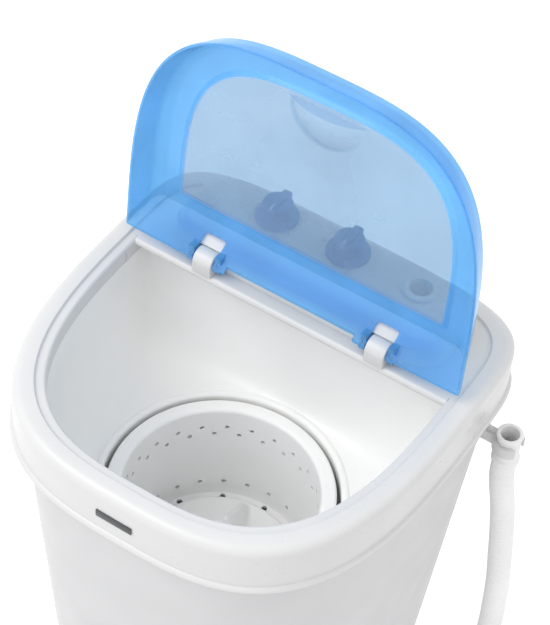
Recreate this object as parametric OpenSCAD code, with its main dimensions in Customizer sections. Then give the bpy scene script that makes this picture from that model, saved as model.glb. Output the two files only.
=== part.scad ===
// Mini washing machine: a tapered moulded body, a deep rim with a hinged translucent lid,
// a tub with a round well, a spin basket and pulsator on one shaft, a belt drive and a side drain hose.
// Millimetres. Origin on the floor under the middle of the rim, front towards -Y, up +Z.
// The lid is drawn open, against its stop. It is shaped closed, in closed-lid places, and then swung.

/* [Rim and body] */
// Overall width of the rim
rim_w = 390; // [376:1:410]
// Depth of the rim in front of the lid's hinge line
rim_front = 268; // [258:1:280]
// Depth of the rim behind the lid's hinge line
rim_back = 122; // [118:1:130]
// Height of the rim above the floor
rim_h = 580; // [570:1:620]
// Height of the rim's outer skirt
skirt_h = 57; // [50:1:66]
// Radius of the rim's rounded outer edge
edge_r = 9; // [6:0.5:11]
// How far the body's top edge stands in from the side of the rim
shell_in = 7; // [5:0.5:12]
// Width of the body shell at the floor
shell_foot_w = 299; // [290:1:330]
// Wall of the moulded shells
wall = 3; // [2.5:0.1:3.5]

/* [Lid] */
// Half width of the lid's free edge
lid_half_w = 179; // [172:1:181]
// Depth of the lid, from its rear edge to its front edge
lid_depth = 263; // [255:1:265]
// Depth of the lid's dished skirt
lid_rise = 33; // [26:1:38]
// Angle that the lid opens to
lid_open = 93.4; // [91:0.1:98]
// Wall of the lid
lid_wall = 2.6; // [2:0.1:3.2]
// Width of the lid's blue border along the sides of its window
border_w = 38; // [34:1:42]
// Radius of the finger recess in the lid
grip_r = 37; // [30:1:40]
// Depth of the finger recess
grip_depth = 11; // [8:0.5:13]
// Radius of the lid's hinge pins
hinge_pin_r = 2.5; // [2:0.1:3]
// Distance of each hinge lug from the middle
hinge_x = 93; // [80:1:105]

/* [Tub and basket] */
// Height of the round well's lip above the floor
well_z = 423; // [410:1:432]
// Height of the well's floor above the floor
floor_z = 285; // [275:1:295]
// Inner radius of the well
well_r = 113; // [110:1:115]
// Outer radius of the basket's balance ring
basket_ring_r = 109; // [104:1:110]
// Inner radius of the basket
basket_r = 94; // [88:1:96]
// Holes in one row round the basket
basket_holes = 24; // [16:1:28]
// Radius of the basket's holes
basket_hole_r = 2.4; // [1.8:0.1:3]
// Radius of the pulsator
pulsator_r = 80; // [66:1:84]
// Height of the pulsator
pulsator_h = 58; // [48:1:64]

/* [Drive] */
// Radius of the drive shaft
shaft_r = 6; // [5:0.5:7]
// Pitch radius of the drive pulley
pulley_r = 60; // [54:1:66]
// Pitch radius of the motor pulley
motor_pulley_r = 20; // [18:1:22]
// Distance between the drive shaft and the motor shaft
belt_centres = 108; // [104:1:112]
// Side of the motor's square core
core_w = 84; // [80:1:88]
// Height of the motor's core
core_h = 34; // [28:1:38]

/* [Controls] */
// Radius of the control knobs
knob_r = 21; // [17:0.5:23]
// Height of the control knobs
knob_h = 22; // [17:0.5:25]
// Distance between the controls along the panel
control_pitch = 78; // [72:1:80]

/* [Hose and feet] */
// Outer radius of the drain hose over its ribs
hose_r = 12; // [10.5:0.1:12.5]
// Inner radius of the drain hose
hose_bore_r = 9; // [8:0.1:10]
// Spacing of the ribs along the drain hose
rib_pitch = 5; // [4:0.1:7]
// Height of the rubber feet
foot_h = 11; // [8:0.5:14]
// Radius of the rubber feet
foot_r = 15; // [12:0.5:17]

/* [Hidden] */
$fn = 64;

// Points round each moulded outline
facets = 72;
// Radial clearance of shafts and pins that turn
run = 0.05;
// Gap where two still pieces rest on each other
seat = 0.15;
// Clearance of a screw's shank in its hole
shank_gap = 0.1;
// How square the outlines are: in front of the hinge line, behind it, and along a short rear edge
front_n = 3;
back_n = 4.8;
console_n = 5;
lid_n = 6;

white = "whitesmoke";
clear_blue = [0.55, 0.77, 0.94, 0.6];

// Places that several pieces share
hinge_y = (rim_front - rim_back) / 2;
skirt_z = rim_h - skirt_h;
lip_drop = 21;
tub_top = rim_h - lip_drop;
flange_t = wall;
shell_top_z = tub_top - flange_t - seat;
shell_top_w = rim_w - 2 * shell_in;
shell_foot_z = foot_h + wall + seat;
mouth_back = 25;

// Outlines and lofts

function power(v, e) = sign(v) * pow(abs(v), e);

// A closed outline, widest on the line y = mid_y, with its own squareness in front of that line and behind it
function outline(half_w, front, back, mid_y, nf = front_n, nb = back_n, n = facets) =
    [for (i = [0 : n - 1]) let (t = 360 * i / n, e = 2 / (sin(t) > 0 ? nb : nf))
        [half_w * power(cos(t), e), mid_y + (sin(t) > 0 ? back : front) * power(sin(t), e)]];

function at_height(points, z) = [for (p = points) [p.x, p.y, z]];

function arc(centre, r, from, to, steps) =
    [for (i = [0 : steps]) let (a = from + (to - from) * i / steps) centre + r * [cos(a), sin(a)]];

// Rings of equal length make one skin. Open ends close on each other, or are capped.
module loft(rings, capped = false) {
    n = len(rings[0]);
    m = len(rings);
    sides = [for (i = [0 : m - (capped ? 2 : 1)], j = [0 : n - 1])
        let (k = (j + 1) % n, up = (i + 1) % m * n, a = i * n + j, b = i * n + k, c = up + k, d = up + j)
        each [[a, d, c], [a, c, b]]];
    caps = capped ? [[for (j = [0 : n - 1]) j], [for (j = [n - 1 : -1 : 0]) (m - 1) * n + j]] : [];
    polyhedron(points = [for (ring = rings) each ring], faces = concat(sides, caps), convexity = 8);
}

// The rim's outline, drawn in by an inset
function rim_outline(inset) = outline(rim_w / 2 - inset, rim_front - inset, rim_back - inset, hinge_y);

// The body's outline is the rim's, scaled down evenly from the shell's top edge to the floor
function body_scale(z) = (shell_foot_w + (shell_top_w - shell_foot_w) * z / shell_top_z) / rim_w;

function body_outline(z, inset) = let (k = body_scale(z))
    outline(k * rim_w / 2 - inset, k * rim_front - inset, k * rim_back - inset, k * hinge_y);

// Where the body's side lies at a height and depth
function body_side(z, y, inset) = let (k = body_scale(z), front = y < k * hinge_y,
    depth = k * (front ? rim_front : rim_back) - inset, n = front ? front_n : back_n)
    (k * rim_w / 2 - inset) * pow(1 - pow(abs(y - k * hinge_y) / depth, n), 1 / n);

module slab(points, z, h) {
    translate([0, 0, z]) linear_extrude(height = h) polygon(points);
}

module tube(r_out, r_in, h) {
    difference() {
        cylinder(r = r_out, h = h);
        translate([0, 0, -1]) cylinder(r = r_in, h = h + 2);
    }
}

// A screw standing on its tip, head uppermost, with the underside of its head at the origin
module screw(shank_r, length, head_r, head_h) {
    translate([0, 0, -length]) cylinder(r = shank_r, h = length);
    difference() {
        cylinder(r = head_r, h = head_h);
        translate([0, 0, head_h / 2]) cylinder(r = shank_r, h = head_h, $fn = 6);
    }
}

module both_sides() {
    children();
    mirror([1, 0, 0]) children();
}

// Body shell

plinth_h = 20;
plinth_in = 4;
boss_r = 6;
base_screw_r = 2;
boss_h = 28;
boss_places = [for (side = [-1, 1], y = [-45, 90])
    [side * (body_side(shell_foot_z, y, plinth_in + wall) - boss_r / 2), y]];

pipe_y = 110;
pipe_z = 62;
outlet_pad_r = 20;
outlet_hole_r = 12.2;
outlet_face_x = shell_foot_w / 2 + 8;

gland_x = -70;
gland_z = 60;
gland_pad_r = 15;
gland_hole_r = 9;
gland_face_y = body_scale(gland_z) * (hinge_y + rim_back) + 2.5;

vent_w = 70;
vent_h = 4;

clip_y = 125;
clip_z = skirt_z - 39;
clip_screw_r = 1.6;
clip_screw_spread = 9;
taper = atan((shell_top_w - shell_foot_w) / 2 / shell_top_z);
clip_turn = atan((body_side(clip_z, clip_y - 1, 0) - body_side(clip_z, clip_y + 1, 0)) / 2);

// The clip's seat on the body: square to the shell's side, with its foot at the origin
module at_clip() {
    translate([body_side(clip_z, clip_y, 0), clip_y, clip_z]) rotate([0, taper, clip_turn]) children();
}

module clip_screw_axes() {
    for (end = [-1, 1]) at_clip() translate([0, end * clip_screw_spread, 19]) rotate([0, 90, 0]) children();
}

module outer_shell() {
    step_z = shell_foot_z + plinth_h;
    outside = [[shell_foot_z, plinth_in], [step_z, plinth_in], [step_z + 2, 0], [shell_top_z, 0]];
    inside = [for (i = [len(outside) - 1 : -1 : 0]) outside[i] + [0, wall]];
    pad_x = body_side(pipe_z, pipe_y, wall + 1);
    color(white) difference() {
        union() {
            loft([for (p = concat(outside, inside)) at_height(body_outline(p.x, p.y), p.x)]);
            for (place = boss_places)
                translate([place.x, place.y, shell_foot_z]) cylinder(r = boss_r, h = boss_h);
            translate([pad_x, pipe_y, pipe_z]) rotate([0, 90, 0])
                cylinder(r = outlet_pad_r, h = outlet_face_x - pad_x);
            translate([gland_x, gland_face_y, gland_z]) rotate([90, 0, 0])
                cylinder(r = gland_pad_r, h = wall + 3);
        }
        for (place = boss_places) translate([place.x, place.y, shell_foot_z - 1])
            cylinder(r = base_screw_r + shank_gap, h = boss_h - 3);
        translate([0, pipe_y, pipe_z]) rotate([0, 90, 0]) cylinder(r = outlet_hole_r, h = rim_w);
        translate([gland_x, rim_back + rim_front, gland_z]) rotate([90, 0, 0])
            cylinder(r = gland_hole_r, h = rim_back + rim_front);
        for (row = [0 : 5]) translate([-vent_w / 2, hinge_y, 100 + 3 * vent_h * row])
            cube([vent_w, rim_back, vent_h]);
        clip_screw_axes() translate([0, 0, -10]) cylinder(r = clip_screw_r + shank_gap, h = 14);
    }
}

// Base

foot_stud_r = 4;
foot_x = 98;
foot_places = [for (side = [-1, 1], y = [-80, 96]) [side * foot_x, y]];
pan_rim_h = 13;

module base_pan() {
    color("gainsboro") difference() {
        union() {
            slab(body_outline(shell_foot_z, plinth_in), foot_h, wall);
            difference() {
                slab(body_outline(shell_foot_z, plinth_in + wall + 0.4), foot_h + wall - 1, pan_rim_h);
                slab(body_outline(shell_foot_z, plinth_in + 2 * wall), foot_h, wall + 2 * pan_rim_h);
            }
            for (y = [-30, 45]) translate([-foot_x, y, foot_h + wall - 1]) cube([2 * foot_x, wall, 8]);
        }
        for (place = boss_places) {
            translate([place.x, place.y, foot_h + wall]) cylinder(r = boss_r + 0.4, h = 2 * pan_rim_h);
            translate([place.x, place.y, 0]) cylinder(r = base_screw_r + shank_gap, h = 2 * foot_h);
        }
        for (place = foot_places) translate([place.x, place.y, 0]) cylinder(r = foot_stud_r, h = 3 * foot_h);
        for (i = [-2 : 2]) translate([18 * i - 3, -14, 0]) cube([6, 50, 3 * foot_h]);
        translate([cap_place.x, cap_place.y - cap_lug_y, 0])
            cylinder(r = cap_screw_r + shank_gap, h = 3 * foot_h);
    }
}

module rubber_feet() {
    groove_r = foot_stud_r - run;
    color("dimgray") for (place = foot_places) translate([place.x, place.y, 0]) rotate_extrude()
        polygon([[0, 0], [foot_r - 2, 0], [foot_r, 2], [foot_r - 2, foot_h - seat], [groove_r, foot_h - seat],
            [groove_r, foot_h + wall + seat], [groove_r + 1.5, foot_h + wall + seat],
            [groove_r - 1, foot_h + wall + 6], [0, foot_h + wall + 6]]);
}

module base_screws() {
    color("silver") for (place = boss_places) translate([place.x, place.y, foot_h - seat]) mirror([0, 0, 1])
        screw(base_screw_r, wall + boss_h - 10, 4, 2.5);
}

module cord_gland() {
    back = gland_face_y + seat;
    neck_r = gland_hole_r - run;
    color("dimgray") translate([gland_x, back, gland_z]) rotate([90, 0, 0]) difference() {
        union() {
            translate([0, 0, -4]) cylinder(r = 13, h = 4);
            cylinder(r = neck_r, h = wall + 3);
        }
        translate([0, 0, -5]) cylinder(r = 4, h = 30);
    }
}

// Rim, deck and hinge lugs

bead_r = 4;
bead_in = 1;
ridge_in = 18;
step_h = 3;
lip_in = 27.5;
lip_r = 3;
deck_z = rim_h - step_h + 0.2;
deck_t = 4.2;
deck_front = hinge_y - 10;
deck_in = ridge_in + 3;
nose_r = 4.5;

hinge_z = rim_h + 9;
lug_w = 20;
lug_r = 10.5;

hinge_gap = 0.4;
ear_w = 6;
ear_r = 7.5;
notch_w = lug_w + 3;

tub_screw_r = 1.8;
tub_head_r = 3.6;
tub_screw_y = hinge_y + mouth_back + wall + tub_head_r + 0.9;
tub_screw_x = [55, 142];
console_half_w = 146;
console_half_d = 48.5;
console_mid_y = hinge_y + 5 + console_half_d;
console_screw_r = 1.8;
console_screw_x = console_half_w - 24;
console_screw_dy = console_half_d - 18;

control_y = hinge_y + 72;
control_x = [for (i = [0 : 2]) i * control_pitch - 64];
timer_w = 44;
switch_w = 34;
// The cases hang a little in front of their spindles
case_shift = 6;

module top_frame() {
    under_z = rim_h - step_h - wall;
    section = concat(
        arc([bead_in, skirt_z + bead_r], bead_r, 270, 105, 4),
        arc([edge_r, rim_h - edge_r], edge_r, 180, 90, 4),
        [[ridge_in, rim_h], [ridge_in + 1, rim_h - step_h]],
        arc([lip_in - lip_r, rim_h - step_h - lip_r], lip_r, 90, 0, 2),
        [[lip_in, tub_top + seat], [lip_in - wall, tub_top + seat], [lip_in - wall, under_z - 2],
            [edge_r + wall, under_z], [wall, rim_h - 2 * edge_r], [wall, skirt_z]]);
    cutout_x = [control_x[0] - timer_w / 2 - 4, control_x[2] + inlet_r + 10];
    cutout_y = [control_y - case_shift - timer_w / 2 - 2, control_y + 22];
    color(white) difference() {
        union() {
            loft([for (p = section) at_height(rim_outline(p.x), p.y)]);
            translate([0, 0, deck_z - deck_t]) linear_extrude(height = deck_t) intersection() {
                polygon(rim_outline(deck_in));
                translate([-rim_w / 2, deck_front + nose_r + 2]) square([rim_w, rim_back]);
            }
            translate([-rim_w / 2 + lip_in - 1, deck_front, deck_z]) rotate([90, 0, 90])
                linear_extrude(height = rim_w - 2 * lip_in + 2)
                    polygon(concat(arc([nose_r, -nose_r], nose_r, 90, 270, 8),
                        [[nose_r + 5, -2 * nose_r], [nose_r + 5, 0]]));
            both_sides() translate([hinge_x - lug_w / 2, 0, 0]) {
                translate([0, hinge_y, hinge_z]) rotate([0, 90, 0]) cylinder(r = lug_r, h = lug_w);
                translate([0, hinge_y - lug_r, deck_z - 1]) cube([lug_w, 2 * lug_r, hinge_z - deck_z + 1]);
            }
            both_sides() for (x = tub_screw_x) translate([x, tub_screw_y, tub_top + seat])
                cylinder(r = 5, h = deck_z - deck_t - tub_top);
        }
        both_sides() translate([hinge_x - lug_w, hinge_y, hinge_z]) rotate([0, 90, 0])
            cylinder(r = hinge_pin_r + run, h = 2 * lug_w);
        both_sides() for (x = tub_screw_x) translate([x, tub_screw_y, tub_top - 1])
            cylinder(r = tub_screw_r + shank_gap, h = 14);
        translate([cutout_x[0], cutout_y[0], deck_z - 2 * deck_t])
            cube([cutout_x[1] - cutout_x[0], cutout_y[1] - cutout_y[0], 3 * deck_t]);
        both_sides() for (end = [-1, 1])
            translate([console_screw_x, console_mid_y + end * console_screw_dy, deck_z - 2 * deck_t])
                cylinder(r = console_screw_r + shank_gap, h = 3 * deck_t);
    }
}

plate_z = skirt_z + 28;
plate_x = -3;

module name_plate() {
    size = [37, 1.2, 8];
    face_y = hinge_y - rim_front - 0.1;
    color("dimgray") translate([plate_x - size.x / 2, face_y - size.y, plate_z - size.z / 2]) cube(size);
}

// Lid, shaped closed

lid_rear_y = hinge_y - 1;
lid_corner = 3;
rear_slope = 23;
window_drop = 2.5;
// How much wider the border is at the front and at the rear, where the leaning wall is part of it
front_band = 7;
rear_band = 2;
lid_edge_z = rim_h + 0.3;

function swung(p) = let (y = p.x - hinge_y, z = p.y - hinge_z)
    [hinge_y + y * cos(lid_open) + z * sin(lid_open), hinge_z - y * sin(lid_open) + z * cos(lid_open)];

module open_lid() {
    translate([0, hinge_y, hinge_z]) rotate([-lid_open, 0, 0]) translate([0, -hinge_y, -hinge_z]) children();
}

// One ring of the lid, drawn in at the sides, at the front and at the rear, and raised
function lid_ring(side, front, rear, rise) = at_height(outline(lid_half_w - side,
    lid_depth - lid_corner - front - rear, lid_corner, lid_rear_y - lid_corner - rear, front_n + 0.3, lid_n),
    lid_edge_z + rise);

// The rings of the lid's outer face, or of its inner face at a depth of t. The rear wall leans forward.
// The dished wall is straight at first and rounded into the top. The border then dips to the window.
function lid_face(t) = let (lean = rear_slope / lid_rise, band = border_w - 0.35 * t)
    concat([for (p = concat([[t, 0], [t + 0.8, 5]], arc([t + 21, lid_rise - 14 - t], 14, 172, 90, 5)))
            lid_ring(p.x, p.x, lean * p.y + t * sqrt(1 + lean * lean), p.y)],
        [lid_ring(band - 2, band + front_band - 2, band + rear_band - 2, lid_rise + 0.8 - t),
            lid_ring(band + 2, band + front_band + 2, band + rear_band + 2, lid_rise - window_drop - t)]);

grip_y = lid_rear_y - lid_depth + border_w + front_band + 9;

module lid_shell() {
    inner = lid_face(lid_wall);
    window_z = lid_edge_z + lid_rise - window_drop;
    color(clear_blue) open_lid() difference() {
        union() {
            loft(concat([for (i = [len(inner) - 1 : -1 : 0]) inner[i]], lid_face(0)), capped = true);
            translate([0, grip_y, window_z]) grip_cup();
            both_sides() for (end = [-1, 1])
                translate([hinge_x + end * (notch_w + ear_w) / 2 - ear_w / 2, hinge_y, hinge_z])
                    rotate([0, 90, 0]) {
                        cylinder(r = ear_r, h = ear_w);
                        translate([-3.5, -13, 0]) cube([9.5, 13, ear_w]);
                    }
        }
        translate([0, grip_y, window_z]) grip_hollow();
        both_sides() translate([hinge_x - notch_w / 2, lid_rear_y - 18, lid_edge_z - 1])
            cube([notch_w, 40, lid_rise - 8]);
        translate([-hinge_x + 24, lid_rear_y - 8, lid_edge_z - 1]) cube([2 * hinge_x - 48, 20, 6]);
        both_sides() translate([hinge_x - notch_w, hinge_y, hinge_z]) rotate([0, 90, 0])
            cylinder(r = hinge_pin_r + 0.02, h = 2 * notch_w);
    }
}

// The finger recess below the lid's face is half of a bowl, behind an upright wall.
// Radius against depth of the bowl, from its lip down, and of the cup that holds it at a wall of t
function grip_profile(t) = let (bowl_r = (grip_r * grip_r + grip_depth * grip_depth) / 2 / grip_depth,
    turn = asin(grip_r / bowl_r))
    [for (i = [0 : 5]) let (a = turn * (1 - 0.16 * i))
        [(bowl_r + t) * sin(a), bowl_r * cos(turn) - 0.4 - (bowl_r + t) * cos(a)]];

function half_ring(r, z) = at_height(arc([0, 0], r, 0, 180, 18), z);

function cup_ring(r, z) = concat(half_ring(r, z), [[-r, -lid_wall, z], [r, -lid_wall, z]]);

module grip_hollow() {
    rings = grip_profile(0);
    loft(concat([for (i = [len(rings) - 1 : -1 : 0]) half_ring(rings[i].x, rings[i].y)],
        [half_ring(grip_r, 1)]), capped = true);
}

module grip_cup() {
    rings = grip_profile(lid_wall);
    loft(concat([for (i = [len(rings) - 1 : -1 : 0]) cup_ring(rings[i].x, rings[i].y)],
        [cup_ring(rings[0].x, -lid_wall / 2)]), capped = true);
}

module hinge_pins() {
    length = lug_w + 16;
    color("silver") open_lid() both_sides() translate([hinge_x - length / 2, hinge_y, hinge_z])
        rotate([0, 90, 0]) cylinder(r = hinge_pin_r, h = length);
}

// Control panel behind the lid. Its bevelled front edge is what the open lid leans on.

stop_gap = 0.35;
bevel_w = 8;

// Height of the open lid's rear wall above a depth, less the gap that it leans with
function lean_z(y) = let (a = swung([lid_rear_y, lid_edge_z]),
    b = swung([lid_rear_y - rear_slope, lid_edge_z + lid_rise]), slope = (b.y - a.y) / (b.x - a.x))
    a.y + (y - a.x) * slope - stop_gap * sqrt(1 + slope * slope);

console_front = console_mid_y - console_half_d;
console_side_z = lean_z(console_front);
console_top = lean_z(console_front + bevel_w);

function console_ring(inset, z) = at_height(outline(console_half_w - inset, console_half_d - inset,
    console_half_d - inset, console_mid_y, console_n, console_n, 48), z);

// The hinge lugs and the lid's ears turn in two pockets of the panel's front
pocket_r = lug_r + hinge_gap;
pocket_w = notch_w + 2 * (ear_w + hinge_gap);
console_grip = 14;

module console_panel() {
    base = deck_z + seat;
    color(white) difference() {
        union() {
            loft([console_ring(bevel_w + wall, console_top - wall),
                console_ring(wall, console_side_z - wall / 2), console_ring(wall, base),
                console_ring(0, base), console_ring(0, console_side_z), console_ring(bevel_w, console_top)],
                capped = true);
            both_sides() for (end = [-1, 1])
                translate([console_screw_x, console_mid_y + end * console_screw_dy, base])
                    cylinder(r = 5, h = console_top - base - 1.5);
            both_sides() translate([hinge_x - pocket_w / 2 - 2, console_front + 1, base])
                cube([pocket_w + 4, hinge_y + pocket_r + 2 - console_front - 1, console_side_z - base]);
        }
        for (i = [0, 1]) translate([control_x[i], control_y, base]) cylinder(r = bushing_r + 0.2, h = 60);
        translate([control_x[2], control_y, base]) cylinder(r = inlet_r + 2.2, h = 60);
        both_sides() translate([hinge_x - pocket_w / 2, 0, 0]) {
            translate([0, hinge_y, hinge_z]) rotate([0, 90, 0]) cylinder(r = pocket_r, h = pocket_w);
            translate([0, hinge_y, base - 1]) cube([pocket_w, pocket_r, hinge_z - base + 1]);
        }
        both_sides() for (end = [-1, 1])
            translate([console_screw_x, console_mid_y + end * console_screw_dy, base - 1])
                cylinder(r = console_screw_r + shank_gap, h = console_grip + 2);
    }
}

module console_screws() {
    color("silver") both_sides() for (end = [-1, 1])
        translate([console_screw_x, console_mid_y + end * console_screw_dy, deck_z - deck_t - seat])
            mirror([0, 0, 1]) screw(console_screw_r, deck_t + console_grip, 3.6, 2.4);
}

bushing_r = 5;
spindle_r = 3;

// A clockwork or switch case below the panel, with the bushing that its spindle turns in
module control_case(x, side, height) {
    top = console_top - wall - seat;
    color("lightgray") translate([x, control_y, 0]) difference() {
        union() {
            translate([-side / 2, -side / 2 - case_shift, top - height]) cube([side, side, height]);
            translate([0, 0, top - 1]) cylinder(r = bushing_r, h = wall + 1);
        }
        translate([0, 0, top - height + 6]) cylinder(r = spindle_r + run, h = height + wall + 2);
    }
}

module control_spindle(x, height) {
    low = console_top - wall - seat - height + 6.2;
    color("silver") translate([x, control_y, low])
        cylinder(r = spindle_r, h = console_top + knob_h - 5 - low);
}

// A skirted knob with a grip bar. Its skirt clears the panel and its blind bore takes the spindle.
module control_knob(x) {
    skirt_h = 4;
    bar_w = 9;
    color("steelblue") translate([x, control_y, console_top + 0.4]) difference() {
        union() {
            rotate_extrude() polygon(concat([[0, 0], [knob_r, 0]],
                arc([knob_r - 2, skirt_h - 2], 2, 0, 90, 4), [[knob_r - 6, skirt_h + 0.6]],
                arc([knob_r - 9, knob_h - 5], 2.5, 0, 90, 4), [[0, knob_h - 2.5]]));
            intersection() {
                translate([-bar_w / 2, -knob_r, skirt_h - 1]) cube([bar_w, 2 * knob_r, knob_h - skirt_h + 1]);
                translate([0, 0, knob_h - 3 * knob_r]) sphere(r = 3 * knob_r);
                cylinder(r = knob_r - 2, h = 2 * knob_h);
            }
        }
        translate([0, 0, -1]) cylinder(r = spindle_r + run, h = knob_h - 4);
    }
}

module wash_timer() { control_case(control_x[0], timer_w, 32); }
module timer_spindle() { control_spindle(control_x[0], 32); }
module wash_timer_knob() { control_knob(control_x[0]); }
module mode_switch() { control_case(control_x[1], switch_w, 26); }
module mode_spindle() { control_spindle(control_x[1], 26); }
module mode_knob() { control_knob(control_x[1]); }

// Water inlet: a cup in the panel, and a flat chute under the deck that pours over the tub's rear wall

inlet_r = 11;

module inlet_chute() {
    top = console_top + seat;
    base = tub_top + 2 * seat;
    height = deck_z - deck_t - base - seat;
    lip_y = hinge_y + mouth_back - 7;
    skin = 1.6;
    width = 14 + 2 * skin;
    color(white) translate([control_x[2], 0, 0]) difference() {
        union() {
            translate([0, control_y, base]) cylinder(r = inlet_r + 2, h = top - base);
            translate([0, control_y, top]) cylinder(r = inlet_r + 6, h = 2.5);
            translate([-width / 2, lip_y, base]) cube([width, control_y - lip_y, height]);
        }
        translate([0, control_y, base + skin]) cylinder(r = inlet_r, h = rim_h);
        translate([skin - width / 2, lip_y - 1, base + skin])
            cube([width - 2 * skin, control_y - lip_y + 1, height - 2 * skin]);
    }
}

// Tub: its mouth blends down into the round well

well_y = -30;
well_wall = 3;
port_turn = 66;
port_reach = 94;
port_x = port_reach * cos(port_turn);
port_y = well_y + port_reach * sin(port_turn);
port_r = 11;
seal_r = 14;
tub_boss_reach = 62;
flange_in = shell_in - 1.5;
tub_boss_h = 12;
motor_turn = 136;
lip_bead_r = 4;

function mouth_outline(grow) =
    outline(rim_w / 2 - lip_in + grow, rim_front - lip_in + grow, mouth_back + grow, hinge_y);

// One ring of the funnel. At turn 0 it is the mouth, and at turn 90 the round well.
function funnel_ring(turn, grow) =
    let (blend = 1 - cos(turn), drop = pow(sin(turn), 2 / 3), mouth = mouth_outline(grow), low = well_z - 1)
    [for (i = [0 : facets - 1]) let (t = 360 * i / facets, r = well_r + 7 + grow / 2)
        [mouth[i].x * (1 - blend) + r * cos(t) * blend,
            mouth[i].y * (1 - blend) + (well_y + r * sin(t)) * blend,
            tub_top + (low - tub_top) * drop - grow * blend - (turn == 0 && grow > 0 ? flange_t : 0)]];

module inner_tub() {
    flange = outline(rim_w / 2 - flange_in, rim_front - flange_in, mouth_back + 15, hinge_y);
    turns = [0, 18, 34, 48, 60, 71, 81, 90];
    color(white) difference() {
        union() {
            loft(concat([for (i = [len(turns) - 1 : -1 : 0]) funnel_ring(turns[i], wall)],
                [at_height(flange, tub_top - flange_t), at_height(flange, tub_top)],
                [for (turn = turns) funnel_ring(turn, 0)]));
            translate([0, well_y, 0]) rotate_extrude($fn = 96) polygon(concat(
                [[0, floor_z - well_wall], [well_r + well_wall, floor_z - well_wall],
                    [well_r + well_wall, well_z - 14],
                    [well_r + 12, well_z - 8], [well_r + 12, well_z - 1.6]],
                arc([well_r + lip_bead_r, well_z + 1 - lip_bead_r], lip_bead_r, 20, 180, 7),
                [[well_r, floor_z], [0, floor_z]]));
            translate([port_x, port_y, floor_z - well_wall - 19]) cylinder(r = port_r + 3, h = 20);
            tub_bosses() cylinder(r = 7, h = tub_boss_h + 1);
        }
        translate([0, well_y, 0]) cylinder(r = seal_r, h = rim_h);
        translate([port_x, port_y, floor_z - 40]) cylinder(r = port_r, h = 60);
        tub_bosses() translate([0, 0, -1]) cylinder(r = plate_bolt_r + shank_gap, h = tub_boss_h - 1);
        housing_places() translate([0, 0, -10]) cylinder(r = housing_screw_r + shank_gap, h = 12);
        both_sides() for (x = tub_screw_x) translate([x, tub_screw_y, tub_top - 10])
            cylinder(r = tub_screw_r + shank_gap, h = 20);
    }
}

module tub_bosses() {
    for (i = [0 : 3]) translate([0, well_y, floor_z - well_wall - tub_boss_h])
        rotate([0, 0, motor_turn + 45 + 90 * i]) translate([tub_boss_reach, 0, 0]) children();
}

module tub_screws() {
    color("silver") both_sides() for (x = tub_screw_x)
        translate([x, tub_screw_y, tub_top - flange_t - seat]) mirror([0, 0, 1])
            screw(tub_screw_r, flange_t + 12, tub_head_r, 2.4);
}

module drain_grate() {
    color("lightgray") translate([port_x, port_y, floor_z]) difference() {
        union() {
            translate([0, 0, seat]) cylinder(r = 15, h = 2);
            translate([0, 0, -5]) cylinder(r = port_r - 0.1, h = 6);
        }
        translate([0, 0, -6]) cylinder(r = port_r - 2, h = 6);
        for (a = [0 : 60 : 300]) rotate([0, 0, a]) translate([6, 0, -1]) cylinder(r = 1.8, h = 9);
        translate([0, 0, -1]) cylinder(r = 1.8, h = 9);
    }
}

// Basket, pulsator and shaft, which turn together

carrier_z = floor_z + 6;
carrier_t = 5;
basket_floor = carrier_z + carrier_t + seat;
basket_wall = 2.5;
pulsator_z = basket_floor + basket_wall + seat;
belt_z = 150;

module spin_basket() {
    ring_h = 14;
    ring_z = well_z - ring_h;
    hole_drops = [11, 21, 94];
    color("white") translate([0, well_y, 0]) difference() {
        rotate_extrude($fn = 96) union() {
            polygon([[30, basket_floor], [basket_r - 4, basket_floor], [basket_r + 0.5, basket_floor + 5],
                [basket_r + basket_wall, ring_z + 1], [basket_r, ring_z + 1],
                [basket_r - 2.5, basket_floor + 6], [basket_r - 5.5, basket_floor + basket_wall],
                [30, basket_floor + basket_wall]]);
            polygon(concat([[basket_r, ring_z]], arc([basket_ring_r - 3, ring_z + 3], 3, 270, 360, 3),
                arc([basket_ring_r - 4, well_z - 4], 4, 0, 90, 4),
                arc([basket_r + 4, well_z - 4], 4, 90, 180, 4)));
        }
        for (row = [0 : len(hole_drops) - 1], i = [0 : basket_holes - 1])
            translate([0, 0, ring_z - hole_drops[row]])
                rotate([0, 90, (i + (row % 2) / 2) * 360 / basket_holes])
                    translate([0, 0, basket_r - 10]) cylinder(r = basket_hole_r, h = 20, $fn = 16);
        for (i = [0 : 11]) rotate([0, 0, 30 * i]) translate([basket_r - 9, 0, basket_floor - 1])
            cylinder(r = 3, h = 9, $fn = 16);
    }
}

module pulsator() {
    rim_t = 8;
    hub_r = 20;
    fin_w = 7;
    color("white") translate([0, well_y, pulsator_z]) difference() {
        union() {
            rotate_extrude() polygon(concat([[0, 0], [pulsator_r - 4, 0]],
                arc([pulsator_r - rim_t / 2, rim_t / 2], rim_t / 2, -90, 90, 6),
                arc([hub_r + 34, pulsator_h - 16], 34, 260, 180, 6),
                [[hub_r - 2, pulsator_h - 8], [0, pulsator_h - 8]]));
            for (turn = [0 : 90 : 270]) rotate([90, 0, turn + 12]) translate([0, 0, -fin_w / 2])
                linear_extrude(height = fin_w) polygon(concat([[hub_r - 8, 4], [pulsator_r - 8, 4]],
                    arc([pulsator_r - 14, rim_t + 6], 6, 0, 70, 3), [[hub_r + 12, pulsator_h - 14]],
                    arc([hub_r - 4, pulsator_h - 8], 8, 50, 90, 3), [[hub_r - 8, pulsator_h]]));
        }
        translate([0, 0, -1]) cylinder(r = shaft_r + 0.02, h = pulsator_h - 17);
        translate([0, 0, 4]) cylinder(r = 2.7, h = pulsator_h);
        translate([0, 0, pulsator_h - 13]) cylinder(r = 8, h = 20);
    }
}

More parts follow.
